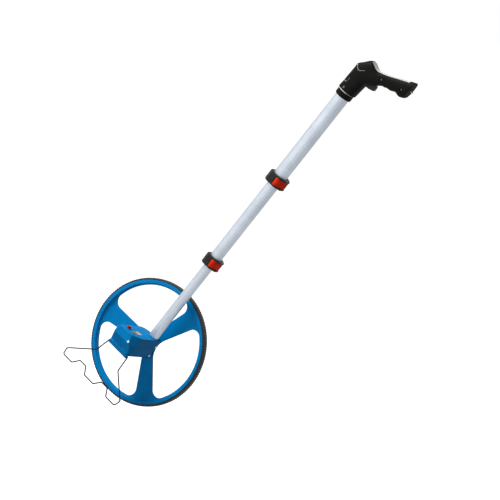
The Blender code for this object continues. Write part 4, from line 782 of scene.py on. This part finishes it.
def first_gear():
    """The gear on the first drum's side, turned into mesh with the layshaft."""
    lay = Vector(LAYSHAFT_AT)
    pitch = 2 * math.pi / GEAR_TEETH
    lay_pitch = 2 * math.pi / LAYSHAFT_TEETH
    to_lay = math.atan2(lay.y, lay.x)
    lay_turn = to_lay + math.pi - (0.5 - to_lay / pitch) * lay_pitch
    across = Vector(DRUMS_AT) - lay
    line = math.atan2(across.y, across.x)
    turn = line + math.pi - (0.5 - (line - lay_turn) / lay_pitch) * pitch
    teeth = []
    for tooth in range(GEAR_TEETH):
        for radius, offset in ((7.9, -0.54), (9.0, -0.42), (9.75, -0.24), (9.75, 0.24),
                               (9.0, 0.42), (7.9, 0.54)):
            angle = turn + (tooth + offset / 2) * pitch
            teeth.append((radius * math.cos(angle), radius * math.sin(angle)))
    return carved(drawn(teeth, -0.2, 3.0, "Y"), rod(1.8, -9, 9, 32, "Y"))


def drums():
    """Five number drums with white figures, the first one red and the rest black."""
    profile = [(1.8, -6.9), (6.0, -6.9), (6.0, -4.6), (DRUM_R, -4.6), (DRUM_R, -0.3),
               (1.8, -0.3)]
    for index in range(5):
        drum = turned(soft_profile(profile, 0.25, 2), 80, "Y")
        if index == 0:
            drum = merged(drum, first_gear())
        drum = merged(drum, *(digit(value) for value in range(10)))
        moved(drum, DRUMS_AT[0], FIRST_DRUM - DRUM_STEP * index, DRUMS_AT[1])
        number = index + 1
        piece("number_drum_%d_printed" % number, drum, "button" if index == 0 else "black",
              "drum_%d" % number, "number_drum_%d" % number, 30, ["ink"])


def pane():
    """The clear plate over the figures, with eased edges."""
    plate = slab(-7.1, -21.1, 7.1, 21.1, 1.0, 5, -1.4, 0.0)
    soften(plate, 0.25, 2, 60, lambda e: rise(e)[0] > -0.1)
    piece("counter_window_pane", on_top(plate, WINDOW_AT), "clear", "frame", "counter_window", 30)


def cross_screw(name, stands_for, body, place, way, shank, head=3.0, mat="bright"):
    """A pan-head screw with a cross recess, its seat at a place and its head outward."""
    profile = [(0, -shank), (0.7, -shank), (1.4, -(shank - 0.8)), (1.4, 0.3), (head, 0.3),
               (head, 0.75), (head * 0.86, 1.3), (head * 0.5, 1.66), (0, 1.7)]
    bars = [slab(-wide, -deep, wide, deep, 0, 1, 0.75, 4)
            for wide, deep in ((0.45, 1.55), (1.55, 0.45))]
    screw = carved(turned(soft_profile(profile, 0.25, 2), 36), *bars)
    screw.transform(Matrix.Rotation(math.radians(31), 4, "Z"))
    screw.transform(Matrix.Rotation(math.radians(90), 4, "Y" if way == "X" else "X"))
    piece(name, moved(screw, *place), mat, body, stands_for, 32)


drums()
pane()
cross_screw("side_screw_upper", "side_screw_1", "frame", SIDE_SCREWS[0], "X", 5.9)
cross_screw("side_screw_lower", "side_screw_2", "frame", SIDE_SCREWS[1], "X", 5.9)
cross_screw("front_cross_screw", "front_screw", "frame",
            (FRONT_SCREW[0], FRONT - 0.2, FRONT_SCREW[2]), "Y", 5.4)


# Telescopic tubes and their clamps
TUBES = [("lower_tube", "frame", 12.5, -20.0, 322.6), ("middle_tube", "middle", 15.5, 264.9, 586.6),
         ("upper_tube", "upper", 18.5, 528.9, 860.6)]
BUSHES = [("lower_bush", "frame", 12.5, 15.5, 322.6), ("middle_bush", "middle", 15.5, 18.5, 586.6)]
CLAMPS = [("lower", "middle", "lever_low", 12.5, 15.5, 260.6),
          ("upper", "upper", "lever_high", 15.5, 18.5, 524.6)]
TUBE_WALL = 1.2
FLUTES = 12
FLUTE_DEPTHS = {0: 0.40, 1: 0.26, 15: 0.26, 2: 0.06, 14: 0.06}
SPOTS_PER_FLUTE = 16
CLAMP_TALL = 28
LEVER_LOW, LEVER_HIGH = 4.3, 23.7
PIN_HOLE = 1.8


def tube(name, body, radius, start, end):
    """A thin drawn tube: shallow flutes outside and a plain bore."""
    spots = FLUTES * SPOTS_PER_FLUTE
    outline = []
    for step in range(spots):
        turn = 2 * math.pi * step / spots
        skin = radius - FLUTE_DEPTHS.get(step % SPOTS_PER_FLUTE, 0.0)
        outline.append((skin * math.cos(turn), skin * math.sin(turn)))
    tools = [rod(radius - TUBE_WALL, start - 1, end + 1, 96)]
    if name == "lower_tube":
        tools.append(rod(2.8, -20, 20, 32, "Y", (0, 0, -8.5)))
    if name == "upper_tube":
        tools.append(rod(SCREW_HOLE, -25, -14.2, 24, "Y", (-5, 0, 827.6)))
    wall = carved(drawn(outline, start, end), *tools)
    piece(name + "_drawn", moved(wall, *TUBE_AT, 0), "tube", body, name, 40)


def bushing(name, body, inner, outer, top):
    """A sliding bush with a rim and three grooves that hold grease."""
    run = outer - 1.5
    bore = inner + 0.3
    profile = [(bore, -24), (run - 0.5, -24), (run, -23)]
    for low in (-19, -13, -7):
        profile += [(run, low), (run - 0.6, low + 0.3), (run - 0.6, low + 1.2), (run, low + 1.5)]
    profile += [(run, 1.4), (run - 0.6, 2), (inner - TUBE_WALL, 2), (inner - TUBE_WALL, 0.3),
                (bore, 0.3)]
    piece(name + "_sleeve", turned(profile, 64, "Z", (*TUBE_AT, top)), "black", body, name, 32)


def clamp(name, body, inside, outside, foot):
    """A clamp body: eight-sided block, pocket for the lever, sunk panels and pinch slit."""
    half = outside + 5.0
    sleeve = outside + 2.2
    reach = sleeve + 3.7
    right = reach + 3.4
    ear = half * 0.42
    cant = half * 0.60
    corners = [(right, -ear), (right, ear), (cant, half), (-cant, half), (-half, cant),
               (-half, -cant), (-cant, -half), (cant, -half)]
    block = soften(drawn(rounded(corners, [3.5] * 8, 7), 0.0, CLAMP_TALL), 0.9, 3, 60)
    start, end = math.radians(26), math.radians(-84)
    tools = [drawn(arc((0, 0), sleeve, start, end, 40) + arc((0, 0), 2 * right, end, start, 12),
                   4, 24)]
    for turn in (90, 135, 180, 225):
        square = turn in (90, 180)
        wide = 5.6 if square else 3.4
        deep = half if square else (half + cant) * math.sqrt(0.5)
        panel = slab(-wide, 6, wide, 22, 1.2, 4, deep - 0.5, deep + 3, "Y")
        panel.transform(Matrix.Rotation(math.radians(turn - 90), 4, "Z"))
        tools.append(panel)
    pin = (reach * math.cos(math.radians(5)), reach * math.sin(math.radians(5)))
    slit = drawn([(0.0, 0.0), (half * 1.2, -0.6), (half * 1.2, 0.6)], 15, 30)
    slit.transform(Matrix.Rotation(math.radians(36), 4, "Z"))
    tools += [rod(inside + 0.3, -2, 28, 96), rod(outside + 0.3, 4, 30, 96),
              rod(PIN_HOLE, -1, 30, 32, "Z", (*pin, 0)), slit]
    piece(name + "_clamp_block", moved(carved(block, *tools), *TUBE_AT, foot), "black", body,
          name + "_clamp", 30)
    return sleeve, pin


def lever(name, body, lever_body, sleeve, pin, foot):
    """The curved lever: knuckle, blade with a sunk middle, and a thinner finger lip."""
    near = sleeve + 0.8
    far = near + 4.2
    steps = 30
    start, end = math.radians(1), math.radians(-78)
    outer = []
    for step in range(steps + 1):
        turn = end + (start - end) * step / steps
        share = step / steps
        skin = far - 1.1 * max(0.0, 1 - share / 0.16) - (0.5 if 0.30 < share < 0.72 else 0.0)
        outer.append((skin * math.cos(turn), skin * math.sin(turn)))
    blade = drawn(arc((0, 0), near, start, end, steps) + outer, LEVER_LOW, LEVER_HIGH)
    bm = carved(blade, (JOIN, rod(3.4, LEVER_LOW, LEVER_HIGH, 48, "Z", (*pin, 0))),
                rod(PIN_HOLE, 0, CLAMP_TALL, 32, "Z", (*pin, 0)))
    soften(bm, 0.45, 2, 55, lambda e: math.hypot(
        *(((e.verts[0].co + e.verts[1].co) / 2).xy - Vector(pin) * MM)) > 2.6 * MM)
    piece(name + "_lever_moulded", moved(bm, *TUBE_AT, foot), "red", lever_body, name + "_lever",
          30)
    rivet = rod(1.5, 0.15, CLAMP_TALL - 0.15, 32, "Z",
                (TUBE_AT[0] + pin[0], TUBE_AT[1] + pin[1], foot), ease=0.4)
    piece(name + "_lever_rivet", rivet, "bright", body, name + "_lever_pin", 35)


for tube_row in TUBES:
    tube(*tube_row)
for bush_row in BUSHES:
    bushing(*bush_row)
for clamp_name, clamp_body, lever_body, bore_in, bore_out, clamp_foot in CLAMPS:
    sleeve_radius, pin_place = clamp(clamp_name, clamp_body, bore_in, bore_out, clamp_foot)
    lever(clamp_name, clamp_body, lever_body, sleeve_radius, pin_place, clamp_foot)


# Grip: collar, two halves, back strap, trigger, lanyard loop
HANDLE = (*TUBE_AT, 804.6)
# Back and front of the grip's outline in its middle plane, from the collar to the butt
GRIP = [(-23.5, 16.8, 24.5, 16.8), (-22.5, 30, 26, 29), (-22, 43, 27.5, 42),
        (-21.4, 60, 30, 57), (-20.5, 78, 35, 63), (-20.2, 88.5, 40.5, 68),
        (-8.5, 102, 47, 73.5), (5, 116.8, 54, 79), (18, 113.5, 59, 82.5),
        (31.5, 109.5, 64, 85.8), (45, 113, 70, 88), (58, 118, 77, 90.2),
        (76, 125.8, 86, 91.8), (92, 133.8, 96, 95.5), (106, 140.2, 106, 98.2),
        (118, 146, 117, 97.2), (127, 150.2, 126, 101), (133, 153, 131.5, 104.5)]
LAST = len(GRIP) - 1
SPOTS = 48
COLLAR_HALF, BUTT_HALF = 20.8, 14.5
BORE_R = 18.8
STRAP_FROM, STRAP_TO = 9, 120
TRIGGER_AT = (26.5, 74)
LOOP_Z = 127
SEAM_GAP = 0.15
LINE_HALF = 0.55
HEAD_SINK = 1.65
# Two grooves on the side of the grip, their floors painted pale as a painted highlight: one near
# the collar, one at the barrel's top
HIGHLIGHT_LINES = [[(-25, 35.5), (-20, 36.2), (-14, 37), (-10, 38.2), (-8.6, 41), (-8.2, 46), (-8, 52)],
         [(-16, 86), (-11, 83.6), (-6, 81.4), (-2, 80.2), (1.5, 80.8), (6, 84.6), (12, 90)]]
# Place in X and Z, depth of the head's seat, and reach of the point into the far half
GRIP_SCREWS = [(-5, 23, 20.6, -14.5), (57, 100, 13, 9), (114, 116, 12, 8)]


def along(column, at):
    """A smooth curve through one column of the grip's table."""
    low = min(max(int(at), 0), LAST - 1)
    t = at - low
    a, b, c, d = (GRIP[min(max(low + step, 0), LAST)][column] for step in (-1, 0, 1, 2))
    return b + 0.5 * t * (c - a + t * (2 * a - 5 * b + 4 * c - d + t * (3 * (b - c) + d - a)))


def grip_ring(at, inset=0.0):
    """One cross-section of the grip: its middle, its long half and its half width."""
    back = Vector((along(0, at), along(1, at)))
    front = Vector((along(2, at), along(3, at)))
    blend = min(max((at / LAST - 0.25) / 0.40, 0.0), 1.0)
    blend = blend * blend * (3 - 2 * blend)
    wide = COLLAR_HALF + (BUTT_HALF - COLLAR_HALF) * blend
    reach = (front - back) / 2
    return (back + front) / 2, reach * (1 - inset / reach.length), wide - inset


def grip_point(at, turn, inset=0.0, lift=0.0):
    """A point on the grip's skin; the turn runs from the front (0) over -Y to the back."""
    middle, reach, wide = grip_ring(at, inset)
    power = 2 / (2.6 + 0.8 * max(0.0, 1 - abs(at - 6.5) / 3.5))
    c, s = math.cos(turn), math.sin(turn)
    a = math.copysign(abs(c) ** power, c)
    b = math.copysign(abs(s) ** power, s)
    place = middle + reach.normalized() * a * (reach.length + lift)
    return place.x, -b * (wide + lift), place.y


def scallop(at, turn):
    """Finger hollows on the underside of the grip."""
    if not 8.4 < at < 14.6:
        return 0.0
    hollow = 1.4 * (0.5 - 0.5 * math.cos(2 * math.pi * (at - 8.4) / 2.066))
    return -hollow * max(0.0, math.cos(turn)) ** 3


def grip_form(inset=0.0, rings=60):
    """The whole grip as one closed shape."""
    bm = bmesh.new()
    loops = []
    for step in range(rings + 1):
        at = LAST * step / rings
        ease = 1.4 * max(0.0, 1 - (LAST - at) / 0.5) ** 2
        circle = bmesh.ops.create_circle(bm, cap_ends=False, segments=SPOTS, radius=0.01)
        verts = circle["verts"]
        for index, vert in enumerate(verts):
            turn = 2 * math.pi * index / SPOTS
            spot = grip_point(at, turn, inset + ease, scallop(at, turn))
            vert.co = [value * MM for value in spot]
        loops.append(list({e for v in verts for e in v.link_edges}))
    for first, last in zip(loops, loops[1:]):
        bmesh.ops.bridge_loops(bm, edges=first + last)
    bmesh.ops.holes_fill(bm, edges=[e for e in bm.edges if e.is_boundary], sides=SPOTS)
    outward(bm)
    return bm


def strap_band(grow):
    """The back strap's run along the grip's back, seen from the side."""
    run = []
    for step in range(8 * 7, 8 * LAST + 1):
        middle, reach, _ = grip_ring(step / 8)
        spot = middle - reach
        if STRAP_FROM - grow < spot.x < STRAP_TO + grow:
            run.append(spot)
    deep = 6.0 + grow
    return [(p.x, p.y - deep) for p in run] + [(p.x, p.y + deep) for p in reversed(run)]


def stroke(path, half):
    """The outline of a drawn line: a band along a path."""
    left, right = [], []
    for index, here in enumerate(path):
        ahead = Vector(path[min(index + 1, len(path) - 1)]) - Vector(path[max(index - 1, 0)])
        side = Vector((-ahead.y, ahead.x)).normalized() * half
        left.append(tuple(Vector(here) + side))
        right.append(tuple(Vector(here) - side))
    return left + right[::-1]


def on_line(face):
    """Whether a face lies in one of the grip's grooves, whose floors carry a painted highlight."""
    centre = face.calc_center_median() / MM
    if centre.y >= -4 or abs(face.normal.y) <= 0.04:
        return False
    for line in HIGHLIGHT_LINES:
        for first, last in zip(line, line[1:]):
            start, way = Vector(first), Vector(last) - Vector(first)
            here = centre.xz - start
            share = min(max(here.dot(way) / way.length_squared, 0.0), 1.0)
            if (here - way * share).length < 0.5:
                return True
    return False


def grip_half(name, side):
    """One moulded half of the grip, with its socket, slot, strap bed and screw seats."""
    low, high = (-SEAM_GAP, 60) if side < 0 else (-60, SEAM_GAP)
    slot = rounded([(21.3, 67.6), (30.5, 55), (56.5, 55), (56.5, 86.5), (21.3, 86.5)],
                   [1.5, 3, 2, 3, 3], 5)
    tools = [slab(-60, -20, 180, 200, 0, 1, low, high, "Y"), rod(BORE_R, -10, 56.3, 96),
             drawn(slot, -7.1, 7.1, "Y"),
             rod(PIN_HOLE, -11, 11, 32, "Y", (TRIGGER_AT[0], 0, TRIGGER_AT[1])),
             drawn(strap_band(0.35), -9.9, 9.9, "Y"),
             rod(1.2, 125.6, 140, 24, "X", (0, side * 4.5, LOOP_Z))]
    for index, (x, z, seat, end) in enumerate(GRIP_SCREWS):
        if side < 0:
            hole = [(0, -12), (3.7, -12), (3.4, 1.4), (SCREW_HOLE, 1.4), (SCREW_HOLE, 26), (0, 26)]
            tools.append(turned(hole, 32, "Y", (x, -seat, z)))
        elif index > 0:
            tools.append(rod(SCREW_HOLE, -2, end + 0.4, 32, "Y", (x, 0, z)))
    if side < 0:
        tools += [carved(drawn(stroke(line, LINE_HALF), -40, -4, "Y"), grip_form(0.5))
                  for line in HIGHLIGHT_LINES]
    bm = carved(grip_form(), *tools)
    # On the left half the groove floors take the pale finish: a painted highlight.
    if side < 0:
        for face in bm.faces:
            face.material_index = int(on_line(face))
    piece(name + "_shell", moved(bm, *HANDLE), "grip", "upper", name, 28,
          ["strap"] if side < 0 else ())


def collar():
    """The ring under the grip, with a pale band painted on top as the highlight of its top edge."""
    profile = [(BORE_R, 0), (22.0, 0), (22.2, 2), (22.2, 14.2), (21.7, 14.4), (21.7, 16.5),
               (BORE_R, 16.5)]
    ring = turned(soft_profile(profile, 0.6, 3), 96)
    # Faces of the top rim take the pale finish: a painted highlight along the collar's edge.
    for face in ring.faces:
        middle = face.calc_center_median() / MM
        if middle.z > 14.5 and middle.xy.length > 21.3:
            face.material_index = 1
    piece("handle_collar_ring", moved(ring, *HANDLE), "grip", "upper", "handle_collar", 30,
          ["strap"])


def back_strap():
    """The soft strap, which stands a little proud of the grip's back."""
    strap = carved(grip_form(-0.25), (KEEP, drawn(strap_band(0.0), -9.6, 9.6, "Y")))
    piece("back_strap_moulded", moved(strap, *HANDLE), "strap", "upper", "back_strap", 40)


def trigger():
    """The trigger's blade with its eased edges, and the pin that it turns on."""
    pivot = (HANDLE[0] + TRIGGER_AT[0], HANDLE[1], HANDLE[2] + TRIGGER_AT[1])
    outline = [(-4, 0), (-2, -4), (6, -15), (14.75, -15), (29.5, -11), (29.5, 0), (25.5, 6),
               (0, 4), (-2, 4)]
    radii = [1.5, 1.5, 2, 6, 1.2, 2.5, 4, 1, 1]
    blade = soften(drawn(rounded(outline, radii, 6), -6.6, 6.6, "Y"), 1.3, 3, 60)
    blade = carved(blade, rod(PIN_HOLE, -8, 8, 32, "Y"))
    piece("trigger_blade", moved(blade, *pivot), "black", "trigger_body", "trigger", 35)
    pin = rod(1.5, -10.6, 10.6, 32, "Y", pivot, ease=0.4, steps=2)
    piece("trigger_pin_turned", pin, "bright", "upper", "trigger_pin", 35)


def lanyard_loop():
    """A small bent wire at the butt."""
    path = rounded([(126, 4.5), (140, 4.5), (140, -4.5), (126, -4.5)], [0, 4.2, 4.2, 0], 10)
    loop = wire([(HANDLE[0] + x, HANDLE[1] + y, HANDLE[2] + LOOP_Z) for x, y in path], 0.9, 4)
    piece("lanyard_loop_wire", loop, "bright", "upper", "lanyard_loop", 50)


grip_half("handle_left", -1)
grip_half("handle_right", 1)
collar()
back_strap()
trigger()
lanyard_loop()
for number, (x, z, seat, end) in enumerate(GRIP_SCREWS, 1):
    at = (HANDLE[0] + x, HANDLE[1] - seat + HEAD_SINK, HANDLE[2] + z)
    cross_screw("grip_cross_screw_%d" % number, "handle_screw_%d" % number, "upper", at, "Y",
                end + seat - HEAD_SINK, mat="dull")


# Folding stand, bent from one steel wire
def stand():
    """One wire: straight ends in the hinge, splayed legs, toes and a raised middle."""
    corners = [(17.5, 0), (33.6, 0), (40, 40), (100, 89), (96, 106), (64, 106), (51, 88),
               (30, 88), (16, 106)]
    corners += [(-out, down) for out, down in reversed(corners)]
    radii = [0, 2.2] + [6] * (len(corners) - 4) + [2.2, 0]
    splay = math.radians(14.5)
    path = [(HINGE[0] + out, HINGE[1] - math.sin(splay) * drop, HINGE[2] - math.cos(splay) * drop)
            for out, drop in rounded(corners, radii, 10)]
    piece("kickstand_wire", wire(path, 1.6, 6), "wire", "stand", "kickstand", 50)


stand()


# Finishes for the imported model's own pieces that stay
KEPT = {"sheet": ["axle_bracket", "counter_frame", "brake_arm"],
        "bright": ["axle", "axle_nut", "drum_shaft", "carry_pinion_shaft", "tube_bolt",
                   "brake_pin", "hub_sleeve", "wheel_bearing_rear", "wheel_bearing_inner"],
        "tyre": ["brake_pad"],
        "pale": ["drive_gear", "counter_layshaft"] + ["carry_pinion_%d" % i for i in range(1, 5)]}
for mat, names in KEPT.items():
    for name in names:
        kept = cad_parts[name]
        kept.data.materials.clear()
        kept.data.materials.append(MATS[mat])
